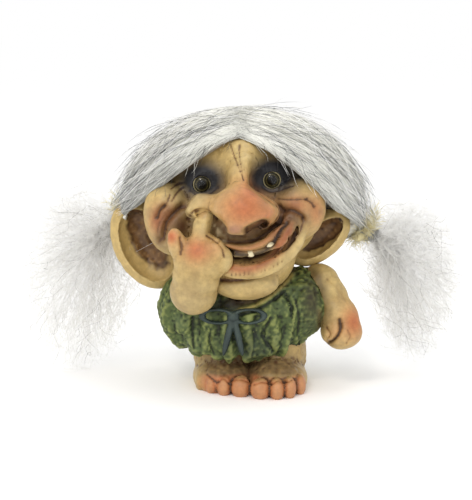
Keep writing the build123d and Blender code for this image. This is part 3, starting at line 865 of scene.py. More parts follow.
def carve_fist():
    """The hanging arm, with its fist."""
    arm = cast("left_arm", "left_arm_casting", sizes().skin_detail, BODY_SHEET)
    arm.relax(3)
    arm.fill(110)
    arm.relax(3)
    arm.carve(FIST_CREASES)
    arm.swell(arm.rough((0.14, 2.8, 14), (0.05, 0.9, 15)))
    arm.relax(1)
    arm.prime("skin")
    arm.tint(SKIN_LIGHT, 0.5 * ramp_down(arm.hollow(16), 0, 0.25))
    arm.tint_spots("peach", FIST_BLUSH)
    # Painted shade where the arm meets the dress
    arm.tint("#5A4C2C", 0.8 * arm.stroke(INNER_ARM, 2.2))
    arm.tint("wash_and_shade", 0.8 * ramp_up(arm.hollow(3), 0.015, 0.08))
    arm.tint("wash_and_shade", 0.4 * ramp_up(grain(arm.points, 3.2, 16), 0.1, 1))
    # Painted shade where the skin turns away from the front
    arm.tint("wash_and_shade", 0.35 * (1 - arm.facing) ** 2)
    arm.tint("deep", 0.85 * arm.stroke(FIST_FOLD, 0.4))
    arm.finish(*SKIN, "left_arm")


# Where the toes meet the feet
TOE_LINES = (
    (((350, 890), (392, 925), (430, 950), (470, 915), (525, 965)), 0.4, 0.35),
    (((545, 935), (600, 925), (660, 945)), 0.4, 0.3),
    (((700, 965), (760, 945), (820, 960)), 0.4, 0.3),
    (((830, 965), (880, 930), (920, 950), (1000, 925)), 0.4, 0.35),
)


def build_legs():
    """Carves the broad feet: brown wash on the shins, peach toes with dark gaps."""
    legs = cast("legs", "legs_casting", sizes().skin_detail, BODY_SHEET)
    above = np.clip(legs.points[:, 2], 0, 1)
    legs.relax(3, above)
    legs.fill(60, ramp_up(legs.points[:, 2], 6.0, 2))
    shin = ramp_up(legs.points[:, 2], 3.5, 3)
    furrows = 0.3 * grain(legs.points * (1, 1, 0.4), 1.8, 17)
    legs.swell(shin * (furrows + legs.rough((0.15, 0.9, 18))))
    legs.carve(TOE_LINES)
    legs.points[:, 2] = np.clip(legs.points[:, 2], 0, None)
    legs.measure()
    fine = legs.hollow(4)
    legs.prime("skin")
    brown = legs.spot((640, 830), 9.5, 0.45) + 0.8 * legs.spot((420, 850), 3.5, 0.7)
    brown += 0.8 * legs.spot((950, 840), 4.0, 0.7)
    legs.tint("#6B563A", 0.95 * np.clip(brown * 1.4, 0, 1))
    legs.tint("#95784C", 0.6 * shin * ramp_down(fine, 0, 0.08))
    toes = ramp_up(-legs.points[:, 1], 9.5, 3.5) * ramp_down(legs.points[:, 2], 5.6, 1.2)
    legs.tint("peach", 0.8 * toes)
    toward_front = 0.25 + 0.75 * legs.facing
    legs.tint("wash_and_shade", 0.95 * toward_front * ramp_up(fine, 0.015, 0.08))
    legs.tint("deep", 0.7 * toward_front * ramp_up(fine, 0.08, 0.15))
    legs.tint("#C9A275", 0.4 * toes * ramp_down(legs.hollow(8), 0, 0.2))
    legs.finish(*SKIN, "legs")


# The dress's neck and its rolled collar, folds, and the upright axis that its pleats run round
NECK = ((560, 330), (700, 300), (860, 200), (960, 90))
COLLAR = ((590, 412), (700, 384), (820, 312), (920, 226), (985, 150))
DRESS_FOLDS = (
    (((600, 446), (720, 412), (840, 342), (940, 258)), 0.5, 0.5),
    (((830, 470), (770, 600), (840, 720)), 0.5, 0.6),
    (((1010, 330), (1040, 460), (1030, 600)), 0.5, 0.6),
    (((250, 470), (240, 580), (250, 690)), 0.6, 0.8),
    (((940, 300), (980, 380), (980, 460)), 0.7, 0.9),
    (((380, 560), (370, 640), (400, 740)), 0.5, 0.5),
    (((700, 560), (710, 650), (690, 760)), 0.5, 0.5),
)
DRESS_AXIS = np.array((-3.0, -0.5))
PLEATS = 17


def build_dress():
    """Carves the dress into pleats of moss with deep gaps, dry-brushes its edges, and paints shade under the
    chin, the hand and the hanging arm.
    """
    dress = cast("dress", "dress_casting", sizes().skin_detail, BODY_SHEET)
    dress.relax(2)
    dress.fill(90)
    around = np.arctan2(dress.points[:, 1] - DRESS_AXIS[1], dress.points[:, 0] - DRESS_AXIS[0])
    sway = 1.3 * grain(dress.points, 6.0, 20)
    pleat = np.sin(PLEATS * around + 2.2 * sway) * np.clip((30 - dress.points[:, 2]) / 10, 0.2, 1)
    fall = dress.points * (1.0, 1.0, 0.3)
    tufts = 0.6 * grain(fall, 1.7, 21)
    tufts += 0.35 * grain(dress.points, 1.2, 22)
    tufts += 0.3 * grain(dress.points, 0.6, 23)
    dress.swell(0.6 * pleat + 0.8 * tufts)
    dress.relax(1)
    dress.swell(0.7 * dress.stroke(COLLAR, 0.7))
    dress.carve(DRESS_FOLDS)
    fine = dress.hollow(4)
    broad = dress.hollow(14)
    dress.prime("moss")
    dress.tint("moss_high", 0.75 * ramp_up(-fine, 0.03, 0.12))
    dress.tint("#5C6A4A", dress.rough((0.5, 4.0, 24)))
    dress.tint("moss_deep", 0.85 * ramp_up(fine, 0.015, 0.1))
    dress.tint("moss_deep", 0.7 * ramp_up(broad, 0.1, 0.4))
    # Painted shade inside the neckline, under the chin
    dress.tint("#4E3A24", 0.95 * dress.near(NECK, 2.4) * (1 - dress.behind(3)))
    # Painted shade on the dress under the raised hand
    dress.tint("#1E1A17", 0.9 * dress.spot((500, 370), 5.0, 0.5))
    # Painted shade where the hanging arm meets the dress
    dress.tint("#33261A", 0.8 * dress.spot((1130, 330), 2.6, 2.4))
    dress.tint("#5B452B", 0.6 * dress.stroke(((1190, 420), (1190, 560)), 0.9))
    dress.tint("#232C28", 0.55 * dress.spot((690, 680), 6.5, 0.8))
    dress.tint("#8D7B40", 0.8 * dress.stroke(COLLAR, 0.5))
    dress.finish("painted_resin_moss", "painted_casting_moss", "dress")


def build_bow():
    """Rounds the cord bow and gives it its blue-grey paint, with a painted highlight where it faces up and
    to the front.
    """
    bow = cast("bow", "bow_casting", 0.22 * MM, BODY_SHEET)
    bow.relax(3)
    bow.swell(bow.rough((0.08, 1.2, 31)))
    bow.prime("bow")
    # Painted highlight: lighter where the cord faces up and to the front
    toward_front = bow.normals[:, 2] * 0.5 - bow.normals[:, 1]
    bow.tint("#4A5850", 0.5 * ramp_up(toward_front, 0.6, 0.6))
    bow.tint("#1D2628", bow.rough((0.6, 1.6, 32)))
    bow.finish("painted_resin_bow", "painted_casting_blue", "bow")


# How far the teeth stand forward, and how much wider they are
TOOTH_FORWARD = 0.7
TOOTH_WIDER = 0.2


def build_teeth():
    """Two worn ivory pegs, browner where they meet the lip."""
    for side in SIDES:
        tooth = cast(f"{side}_tooth", f"{side}_tooth_peg", 0.12 * MM)
        tooth.relax(3)
        height = tooth.points[:, 2]
        share = (height - height.min()) / np.ptp(height)
        middle = tooth.points.mean(axis=0)
        low = ramp_down(share, 0.35, 0.35)
        tooth.points[:, 2] += 0.25 * low**2
        tooth.points[:, 0] += (tooth.points[:, 0] - middle[0]) * TOOTH_WIDER
        tooth.points[:, 1] -= TOOTH_FORWARD
        tooth.swell(tooth.rough((0.04, 0.6, 33)))
        tooth.prime("tooth")
        tooth.tint("wash_and_shade", 0.7 * ramp_up(share, 0.6, 0.4))
        tooth.tint("#B59A66", tooth.rough((0.5, 0.7, 34)))
        tooth.finish("ivory_paint", "ivory_casting", f"{side}_tooth")


# How far the painted iris swells into its glass, and the rings and spokes of its points
IRIS_SWELL = 1.1
IRIS_RINGS = 22
IRIS_SPOKES = 72


def iris_mesh(name, middle, radius, front, back):
    """A disc with a crowned front, between the depths of its front and its back."""
    circle = []
    for angle in np.linspace(0, 2 * math.pi, IRIS_SPOKES, endpoint=False):
        circle.append((math.cos(angle), math.sin(angle)))
    points = [(middle[0], front - IRIS_SWELL, middle[2])]
    for share in np.linspace(1 / IRIS_RINGS, 1, IRIS_RINGS):
        depth = front - IRIS_SWELL * (1 - share**2)
        for across, up in circle:
            points.append((middle[0] + radius * share * across, depth, middle[2] + radius * share * up))
    rim = len(points)
    for across, up in circle:
        points.append((middle[0] + radius * across, back, middle[2] + radius * up))
    faces = []
    for spoke in range(IRIS_SPOKES):
        follow = (spoke + 1) % IRIS_SPOKES
        faces.append((0, 1 + spoke, 1 + follow))
        for ring in range(IRIS_RINGS):
            a = 1 + ring * IRIS_SPOKES
            b = a + IRIS_SPOKES
            faces.append((a + spoke, b + spoke, b + follow, a + follow))
    faces.append(tuple(range(len(points) - 1, rim - 1, -1)))
    mesh = bpy.data.meshes.new(name)
    mesh.from_pydata([tuple(c * MM for c in point) for point in points], [], faces)
    return mesh


def paint_iris(iris, middle, radius):
    """A black pupil, streaked olive round it, and two thin rings, with painted light that brightens them on
    one side.
    """
    offset = (iris.points - middle)[:, ::2]
    reach = np.linalg.norm(offset, axis=1) / radius
    bearing = np.arctan2(offset[:, 1], offset[:, 0])
    streak = np.sin(17 * bearing + 3 * np.sin(5 * reach))
    # Painted light: the rings are brighter towards the lower left
    painted_ring_light = 0.75 + 0.25 * np.cos(bearing + math.radians(150))
    iris.prime("#0B0A08")
    iris.tint("#2C2811", ramp_up(reach, 0.44, 0.05) * (0.75 + 0.25 * streak))
    iris.tint("#1C170B", ramp_up(reach, 0.66, 0.1))
    iris.tint("#8A7F4E", 0.5 * band(reach, 0.6, 0.05) * painted_ring_light)
    iris.tint("gold", band(reach, 0.86, 0.07) * painted_ring_light)
    iris.tint("#1A150E", ramp_up(reach, 0.95, 0.03))


def eye_dome(name, middle, radius, front, back):
    """A cap of a ball, as wide as the iris, between the depths of its front and its back."""
    height = back - front
    ball = (radius**2 + height**2) / (2 * height)
    bpy.ops.object.select_all(action="DESELECT")
    bpy.ops.mesh.primitive_uv_sphere_add(
        segments=64, ring_count=48, radius=ball * MM, rotation=(math.pi / 2, 0, 0),
        location=(middle[0] * MM, (front + ball) * MM, middle[2] * MM),
    )
    dome = bpy.context.active_object
    dome.name = name
    bpy.ops.object.transform_apply(location=True, rotation=True, scale=True)
    bpy.ops.object.mode_set(mode="EDIT")
    bpy.ops.mesh.select_all(action="SELECT")
    bpy.ops.mesh.bisect(
        plane_co=(0, back * MM, 0), plane_no=(0, 1, 0), use_fill=True, clear_outer=True
    )
    bpy.ops.mesh.select_all(action="SELECT")
    bpy.ops.mesh.normals_make_consistent(inside=False)
    bpy.ops.object.mode_set(mode="OBJECT")
    return dome


def build_eyes():
    """Glass domes over painted discs with a black pupil and a thin gold ring."""
    for side in SIDES:
        low, high = (np.array(corner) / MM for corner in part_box(f"{side}_iris"))
        middle = (low + high) / 2
        radius = (high[0] - low[0]) / 2
        name = f"{side}_iris_disc"
        disc = new_piece(name, iris_mesh(name, middle, radius, low[1], high[1]))
        iris = Casting(disc, FACE_SHEET)
        paint_iris(iris, middle, radius)
        iris.finish("painted_iris", "iris_enamel", f"{side}_iris")
        low, high = (np.array(corner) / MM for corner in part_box(f"{side}_eye_glass"))
        dome = eye_dome(f"{side}_eye_dome", middle, radius, low[1], high[1])
        settle(dome, "pressed_eye_glass", "eye_glass", f"{side}_eye_glass")
        dome.data.shade_flat()
        select_only(dome)
        bpy.ops.object.shade_smooth_by_angle(angle=math.radians(40))


# Wool

# The hair's outer form, the ties, the bunch of hair in a tie, and where the parting lies
HAIR_MIDDLE = np.array((-2.0, 7.0, 49.8))
HAIR_HALF = np.array((35.0, 26.0, 29.0))
TIES = {"right": np.array((-38.8, 14.0, 44.6)), "left": np.array((36.0, 10.5, 41.4))}
BUNCH_RADIUS = 1.7
PARTING = -2.8

# How far the base lies behind the hairline, so that strands hide its edge
HAIRLINE_SINK = 5.0

# The material and the slot of the parted hair, the ties and the pigtails, and the shade of dark hairs
WOOL = ("combed_wool", "grey_wool")
YARN = ("soft_yarn", "cream_yarn")
FLUFF = ("loose_wool", "white_wool")
DARK_HAIR = "#5B5E60"

# Shares of dark hairs, and where along a strand it begins to gather into the bunch, and over how much
DARK_SHARES = {"combed": 0.1, "strays": 0.3, "wisps": 0.45, "pigtails": 0.025}
GATHER = (0.78, 0.22)

# How many locks each side has, how many hairs of the loose kinds, and how thick the ties' fuzz is
LOCKS = 2
STRAYS = 700
WISPS = 26
TIE_FUZZ = 850
FUZZ_WIDTH = 0.15

# A strand's thickness at its root and at its last two points, as shares
ROOT_TAPER = 0.5
TIP_TAPER = (0.7, 0.25)

# Numbers that the random draws of each kind of wool start from
SEEDS = {
    "sides": 5, "base": 41, "ties": 60, "locks": 100, "edges": 150, "strays": 160, "wisps": 170,
    "pigtails": 200, "combed_locks": 300, "combed_edges": 320,
}

# How much of a strand's shade is left at its tie: painted shade that darkens the strands from the parting
# down to the tie
TIE_SHADING = {"right": 0.26, "left": 0.56}

# Lines that the comb follows on each side, from the parting to the tie, hairline to nape
COMB_LINES = {
    "right": (
        ((PARTING, -9.7, 72.6), (-11, -12.2, 69.4), (-19.5, -13, 62.8), (-31, -7.5, 53.2), (-36.8, 3, 48.2)),
        ((PARTING, -5, 75.5), (-14, -7.5, 71.5), (-25, -7.5, 64.5), (-33, -3, 55.5), (-37.2, 5.5, 49.5)),
        ((PARTING, 7, 78.8), (-16, 7, 76), (-28, 6.5, 69), (-35, 7, 59.5), (-38, 10, 51)),
        ((PARTING, 20, 75), (-15, 20, 71.5), (-27, 18, 64), (-34, 16, 55.5), (-37.5, 15, 49)),
        ((PARTING, 30, 63), (-15, 28.5, 59.5), (-25, 24.5, 54), (-32, 20.5, 49.5), (-36, 17, 46.5)),
        ((PARTING, 32.5, 46), (-13, 31, 44), (-22, 27.5, 42.8), (-30, 22.5, 43), (-35, 18, 44)),
        ((PARTING, 31, 36), (-12, 29.5, 36), (-21, 26, 37.5), (-29, 21.5, 40), (-34.5, 17.5, 43)),
    ),
    "left": (
        ((PARTING, -9.7, 72.6), (5.5, -13, 68.2), (14.5, -14, 61.6), (23.5, -10.8, 51.8), (31, 1, 45.4)),
        ((PARTING, -5, 75.5), (8, -8, 71.5), (19.5, -8, 64), (27.5, -3.5, 54.5), (32.5, 4, 47)),
        ((PARTING, 7, 78.8), (11, 7, 76), (23, 6.5, 68.5), (30.5, 7, 58), (33.8, 8.5, 48.5)),
        ((PARTING, 20, 75), (10, 20, 71.5), (22, 18, 63.5), (29.5, 15, 54), (33.5, 12.5, 46.5)),
        ((PARTING, 30, 63), (10, 28.5, 59), (20.5, 24.5, 53), (27.5, 19.5, 47.5), (32, 14.5, 44)),
        ((PARTING, 32.5, 46), (8, 31, 43.5), (17, 27.5, 42), (25, 21.5, 41.5), (31, 15.5, 41.8)),
        ((PARTING, 31, 36), (7, 29.5, 36), (16, 26, 37), (24, 20.5, 38.8), (30.5, 15, 40.8)),
    ),
}

# Middle of each pigtail's fan, from its tie, the half sizes of its spread, and its neck's outward tilt
FANS = {
    "right": (np.array((-13.0, 0.0, -17.0)), np.array((16.8, 10.0, 27.0))),
    "left": (np.array((14.0, 0.0, -13.0)), np.array((13.0, 9.5, 23.0))),
}
NECK_TILT = math.radians(50.0)


def on_cap(points, lift):
    """Points put on the hair's outer form, lifted off it by a distance."""
    unit = (points - HAIR_MIDDLE) / HAIR_HALF
    unit = unit / np.linalg.norm(unit, axis=-1, keepdims=True)
    return HAIR_MIDDLE + unit * (HAIR_HALF + lift[..., None])


def along_paths(paths, spots):
    """Points of many paths at the given spots, from 0 to 1 along each."""
    last = paths.shape[1] - 1
    spots = np.clip(spots, 0, 1) * last
    whole = np.clip(spots.astype(int), 0, last - 1)
    part = (spots - whole)[..., None]
    rows = np.arange(len(paths))[:, None]
    return paths[rows, whole] * (1 - part) + paths[rows, whole + 1] * part


def comb_paths(side, share, spots):
    """Combed paths, each at a share of the way from the hairline to the nape."""
    lines = np.array([smooth_line(np.array((*line, TIES[side])), 8) for line in COMB_LINES[side]])
    place = share * (len(lines) - 1)
    base = np.clip(np.floor(place).astype(int), 0, len(lines) - 2)
    mix = (place - base)[:, None, None]
    return along_paths(lines[base] * (1 - mix) + lines[base + 1] * mix, spots)


def lay_strands(name, paths, widths, shades, look, *nodes, end_shading=1.0, body=FIGURE):
    """Closed three-sided tubes along many paths, each in its shade, which painted shade can darken towards
    its end.
    """
    count, steps, _ = paths.shape
    along = np.gradient(paths, axis=1)
    along /= np.linalg.norm(along, axis=2, keepdims=True).clip(1e-9)
    rng = np.random.default_rng(SEEDS["sides"])
    aside = np.cross(along, rng.normal(size=(count, 1, 3)))
    aside /= np.linalg.norm(aside, axis=2, keepdims=True).clip(1e-9)
    across = np.cross(along, aside)
    taper = np.ones(steps)
    taper[0] = ROOT_TAPER
    taper[-2:] = TIP_TAPER
    radius = (widths[:, None] / 2 * taper)[:, :, None]
    corners = []
    for angle in (0, 2 * math.pi / 3, 4 * math.pi / 3):
        corners.append(paths + radius * (math.cos(angle) * aside + math.sin(angle) * across))
    points = np.stack(corners, axis=2).reshape(-1, 3)
    first = np.arange(count)[:, None, None] * steps * 3
    ring = (first + np.arange(steps - 1)[None, :, None] * 3).reshape(-1, 1)
    near = np.arange(3)
    far = (near + 1) % 3
    walls = np.stack((ring + near, ring + far, ring + 3 + far, ring + 3 + near), axis=2).reshape(-1, 4)
    root = first.reshape(-1, 1)
    tip = root + (steps - 1) * 3
    ends = np.concatenate((root + (0, 2, 1), tip + (0, 1, 2)))
    mesh = bpy.data.meshes.new(name)
    mesh.from_pydata(points * MM, [], walls.tolist() + ends.tolist())
    # Painted shade darkens each strand towards its end
    along_strand = shades[:, None, :] * np.linspace(1, end_shading, steps)[None, :, None]
    write_paint(mesh, np.repeat(along_strand.reshape(-1, 3), 3, axis=0))
    settle(new_piece(name, mesh), *look, *nodes, body=body)


def waves(rng, count, steps, size, turns):
    """Side-to-side waves for many strands."""
    t = np.linspace(0, 1, steps)[None, :, None]
    phase = rng.uniform(0, 2 * math.pi, (count, 1, 3))
    pitch = rng.uniform(*turns, (count, 1, 3))
    height = rng.uniform(0.2, 1, (count, 1, 3)) * size
    return height * np.sin(2 * math.pi * pitch * t + phase)


def strand_shades(rng, base, dark, is_dark, spread):
    """A shade for each strand: near its base colour, or a dark one."""
    count = len(is_dark)
    shade = base * np.clip(1 + rng.normal(0, spread, (count, 1)), 0.5, 1.3)
    return np.where(is_dark[:, None], dark * rng.uniform(0.6, 1.3, (count, 1)), shade).clip(0, 1)


def wool_count(count):
    """The count of strands."""
    return count


def comb_lock(name, side, share, lift, back, seed):
    """Combed strands: where each lies from hairline to nape, how high, and how far back it is set."""
    rng = np.random.default_rng(seed)
    count, steps = len(share), 11
    t = np.linspace(0, 1, steps)
    begin = rng.uniform(0, 0.14, count) * (rng.uniform(0, 1, count) < 0.5)
    spots = begin[:, None] + (1 - begin)[:, None] * t
    raw = comb_paths(side, share, spots) + waves(rng, count, steps, 0.5, (0.6, 2.4))
    raw[:, :, 0] += rng.normal(0, 1.0, (count, 1)) * np.clip(1 - 4 * spots, 0, 1)
    bunch = rng.normal(0, 0.6, (count, 1, 3)).clip(-1, 1) * BUNCH_RADIUS
    height = lift[:, None] * np.sin(math.pi * np.clip(spots, 0.12, 0.95))
    gather = ramp_up(spots, *GATHER)[:, :, None]
    paths = on_cap(raw, height) * (1 - gather) + (raw + bunch) * gather
    paths[:, :, 1] += back[:, None] * np.clip(4 * (1 - spots), 0, 1)
    is_dark = rng.uniform(0, 1, count) < DARK_SHARES["combed"]
    # Strands near the hairline are painted greyer: painted shade near the face
    grey = np.clip(1 - share * 4, 0, 1)[:, None] * 0.3
    base = colour("wool") * (1 - grey) + colour("#B0B3B3") * grey
    shades = strand_shades(rng, base, colour(DARK_HAIR), is_dark, 0.12)
    widths = sizes().strand_width / MM * rng.uniform(0.5, 1.15, count) * np.where(is_dark, 0.5, 1)
    lay_strands(name, paths, widths, shades, WOOL, end_shading=TIE_SHADING[side])


def build_hair():
    """Combs grey wool from the parting to the ties over a streaked base."""
    for index, side in enumerate(SIDES):
        build_hair_base(side, SEEDS["base"] + index)
        for lock in range(LOCKS):
            turn = 10 * index + lock
            rng = np.random.default_rng(SEEDS["locks"] + turn)
            count = wool_count(sizes().strands)
            share = rng.uniform(0, 1, count)
            share[: count // 5] = rng.uniform(0, 0.16, count // 5)
            lift = rng.uniform(-0.5, 0.8, count)
            name = f"{side}_hair_strands_{lock + 1}"
            comb_lock(name, side, share, lift, np.zeros(count), SEEDS["combed_locks"] + turn)
        rng = np.random.default_rng(SEEDS["edges"] + index)
        count = wool_count(sizes().strands // 2)
        at_front = rng.uniform(0, 1, count) < 0.7
        share = np.where(at_front, rng.uniform(0.0, 0.02, count), rng.uniform(0.985, 1.02, count))
        back = np.where(at_front, rng.uniform(0, 6, count), rng.uniform(-4, 0, count))
        lift = rng.uniform(-0.6, 0.3, count)
        comb_lock(f"{side}_hair_edges", side, share, lift, back, SEEDS["combed_edges"] + index)
        build_strays(side, SEEDS["strays"] + index)
        build_wisps(side, SEEDS["wisps"] + index)


def build_strays(side, seed):
    """Loose hairs that lie across the combed ones and stand off them."""
    rng = np.random.default_rng(seed)
    count, steps = wool_count(STRAYS), 9
    t = np.linspace(0, 1, steps)
    begin = rng.uniform(0, 0.6, count)[:, None]
    spots = begin + rng.uniform(0.15, 0.4, (count, 1)) * t
    share = rng.uniform(0.02, 0.95, count)
    near = comb_paths(side, share, spots)
    far = comb_paths(side, np.clip(share + rng.normal(0, 0.12, count), 0, 1), spots)
    raw = near + (far - near) * t[:, None] + waves(rng, count, steps, 1.0, (0.4, 1.4))
    stand = rng.uniform(0.2, 1, (count, 1)) ** 2 * 5.0
    paths = on_cap(raw, 0.4 + stand * t**1.5)
    is_dark = rng.uniform(0, 1, count) < DARK_SHARES["strays"]
    shades = strand_shades(rng, colour("fluff"), colour(DARK_HAIR), is_dark, 0.05)
    lay_strands(f"{side}_hair_strays", paths, rng.uniform(0.06, 0.12, count), shades, WOOL)


def build_hair_base(side, seed):
    """The mass under the strands, streaked from the parting to the tie."""
    base = cast(f"{side}_hair", f"{side}_hair_base", sizes().wool_detail)
    base.relax(6)
    hairline = np.array(sorted((x, z) for x, _, z in COMB_LINES[side][0]))
    above = base.points[:, 2] - np.interp(base.points[:, 0], *hairline.T)
    at_front = ramp_down(base.points[:, 1], 2, 6)
    base.points[:, 1] += HAIRLINE_SINK * at_front * ramp_down(above, 1.8, 3.0)
    base.relax(4)
    tie = (TIES[side] - HAIR_MIDDLE) / HAIR_HALF
    tie /= np.linalg.norm(tie)
    unit = (base.points - HAIR_MIDDLE) / HAIR_HALF
    unit /= np.linalg.norm(unit, axis=1, keepdims=True)
    level = np.cross(tie, (0, 1, 0))
    level /= np.linalg.norm(level)
    bearing = np.arctan2(unit @ np.cross(tie, level), unit @ level)
    reach = np.arccos(np.clip(unit @ tie, -1, 1))
    comb = np.stack((bearing * 30, reach * 3, np.zeros(len(bearing))), axis=1)
    streaks = grain(comb, 1.1, seed) + 0.6 * grain(comb, 0.5, seed + 2)
    sink = base.normals * (0.3 * streaks - 0.8)[:, None]
    sink[np.abs(base.points[:, 0] - PARTING) < 2.0, 0] = 0
    base.points += sink
    base.measure()
    # The base is painted darker than the strands, and darker still in its sunk streaks: painted shade under
    # and between the strands
    base.prime("wool", 0.85)
    base.tint("wool", np.clip(-streaks * 0.8, 0, 0.8), 0.5)
    base.tint("#E8E8E6", np.clip(streaks * 0.6, 0, 0.6))
    base.finish(*WOOL, f"{side}_hair")


def build_wisps(side, seed):
    """A few loose hairs that fall over the forehead."""
    rng = np.random.default_rng(seed)
    count, steps = WISPS, 9
    t = np.linspace(0, 1, steps)[None, :, None]
    root = comb_paths(side, rng.uniform(0, 0.04, count), rng.uniform(0.0, 0.5, (count, 1)))
    aside = SIDES[side] * rng.uniform(0.5, 6, count)
    fall = np.stack((aside, rng.uniform(-1.6, -0.4, count), rng.uniform(-8, -2, count)), axis=1)
    paths = root + fall[:, None, :] * t + waves(rng, count, steps, 0.7, (0.4, 1.2)) * t
    paths[:, :, 1] -= 2.0 * np.sin(math.pi * t[:, :, 0])
    is_dark = rng.uniform(0, 1, count) < DARK_SHARES["wisps"]
    shades = strand_shades(rng, colour("wool"), colour("#4A4744"), is_dark, 0.1)
    lay_strands(f"{side}_hair_wisps", paths, rng.uniform(0.07, 0.12, count), shades, WOOL)


def build_ties():
    """Soft cream yarn wound round each bunch, with fuzz standing out of it."""
    for index, side in enumerate(SIDES):
        tie = cast(f"{side}_hair_tie", f"{side}_tie_yarn", 0.25 * MM)
        tie.relax(2)
        tie.swell(tie.rough((0.35, 1.1, 51), (0.2, 0.5, 52)) + 0.2)
        tie.prime("yarn")
        # Painted shade in the hollows of the yarn
        tie.tint("#C9BA86", np.clip(tie.hollow(3) / 0.1, 0, 0.8))
        tie.finish(*YARN, f"{side}_hair_tie")
        rng = np.random.default_rng(SEEDS["ties"] + index)
        count, steps = wool_count(TIE_FUZZ), 8
        t = np.linspace(0, 1, steps)[None, :, None]
        root = tie.points[rng.integers(0, len(tie.points), count)]
        knot = tie.points[np.argmin(tie.points[:, 1])]
        root[: count // 2] = knot + rng.normal(0, 0.6, (count // 2, 3))
        out = root - tie.points.mean(axis=0) + (SIDES[side], -1.0, 1.5) + rng.normal(0, 1.6, (count, 3))
        out *= rng.uniform(0.3, 0.85, (count, 1))
        paths = root[:, None, :] + (out[:, None, :] + waves(rng, count, steps, 0.7, (0.5, 1.5))) * t
        shades = strand_shades(rng, colour("yarn"), colour("yarn"), np.zeros(count, bool), 0.07)
        lay_strands(f"{side}_tie_fuzz", paths, np.full(count, FUZZ_WIDTH), shades, YARN)


def build_pigtails():
    """Frizzy off-white wool that fans out below each tie, with a few dark curls."""
    for index, side in enumerate(SIDES):
        node = f"{side}_pigtail"
        middle, half = FANS[side]
        neck = np.array((SIDES[side] * math.sin(NECK_TILT), 0, -math.cos(NECK_TILT)))
        for lock in range(LOCKS):
            rng = np.random.default_rng(SEEDS["pigtails"] + 10 * index + lock)
            count, steps = wool_count(sizes().fluff), 13
            t = np.linspace(0, 1, steps)[None, :, None]
            angle = rng.uniform(0, 2 * math.pi, count)
            reach = np.sqrt(rng.uniform(0.01, 1.1, count))
            thick = rng.normal(0, 0.5, count) * np.sqrt(1.15 - reach**2)
            place = middle + half * np.stack((reach * np.cos(angle), thick, reach * np.sin(angle)), axis=1)
            run = place / np.linalg.norm(place, axis=1, keepdims=True) + rng.normal(0, 0.45, (count, 3))
            start = place - run * rng.uniform(4, 13, (count, 1))
            tied = rng.uniform(0, 1, count) < 0.22
            start[tied] = rng.normal(0, 0.8, (tied.sum(), 3)).clip(-1.5, 1.5)
            bend = np.where(tied[:, None], neck * rng.uniform(6, 14, (count, 1)), (start + place) / 2)
            bend = bend + rng.normal(0, 1.6, (count, 3))
            paths = start[:, None, :] * (1 - t) ** 2
            paths = paths + 2 * bend[:, None, :] * (1 - t) * t
            paths = paths + place[:, None, :] * t**2
            curl = np.where(rng.uniform(0, 1, count) < 0.4, 2.4, 1.0)[:, None, None]
            paths += waves(rng, count, steps, 1.0, (0.5, 2.0)) * np.clip(1.5 * t, 0, 1) * curl
            paths += TIES[side]
            paths[:, :, 2] = paths[:, :, 2].clip(0.3)
            is_dark = rng.uniform(0, 1, count) < DARK_SHARES["pigtails"]
            shades = strand_shades(rng, colour("fluff"), colour("#6E6762"), is_dark, 0.04)
            widths = sizes().fluff_width / MM * rng.uniform(0.6, 1.2, count)
            stands_for = () if lock else (node,)
            lay_strands(f"{node}_hairs_{lock + 1}", paths, widths, shades, FLUFF, *stands_for, body=node)


def build_inner():
    """Materials for what is hidden: the dowel and the skin that the wool grows on."""
    for node, material in (("neck_dowel", turned_wood()), ("scalp_skin", pale_hide())):
        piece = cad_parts[node]
        piece.data.materials.clear()
        piece.data.materials.append(material)


def build_materials():
    """Makes the materials that several pieces share."""
    painted_casting("painted_resin_skin", 0.35, 1.4, 0.42, 0.35)
    painted_casting("painted_resin_moss", 0.4, 1.2, 0.6, 0.5, 0.14)
    painted_casting("painted_resin_bow", 0.3, 1.2, 0.5, 0.3)
    glossy_paint("ivory_paint", 0.15, 0.3)
    glossy_paint("painted_iris", 0.03, 0.2)
    eye_crystal()
    wool_strands("combed_wool", 0.55, 0.15)
    wool_strands("loose_wool", 0.6, 0.6)
    wool_strands("soft_yarn", 0.8, 0.3)


def area_light(name, place, target, size, power, tint="#FFFFFF"):
    """A soft square lamp that looks at a point."""
    lamp = bpy.data.lights.new(name, "AREA")
    lamp.energy = power
    lamp.size = size
    lamp.color = linear(tint)
    thing = bpy.data.objects.new(name, lamp)
    bpy.context.scene.collection.objects.link(thing)
    thing.location = place
    thing.rotation_euler = (Vector(target) - Vector(place)).to_track_quat("-Z", "Y").to_euler()


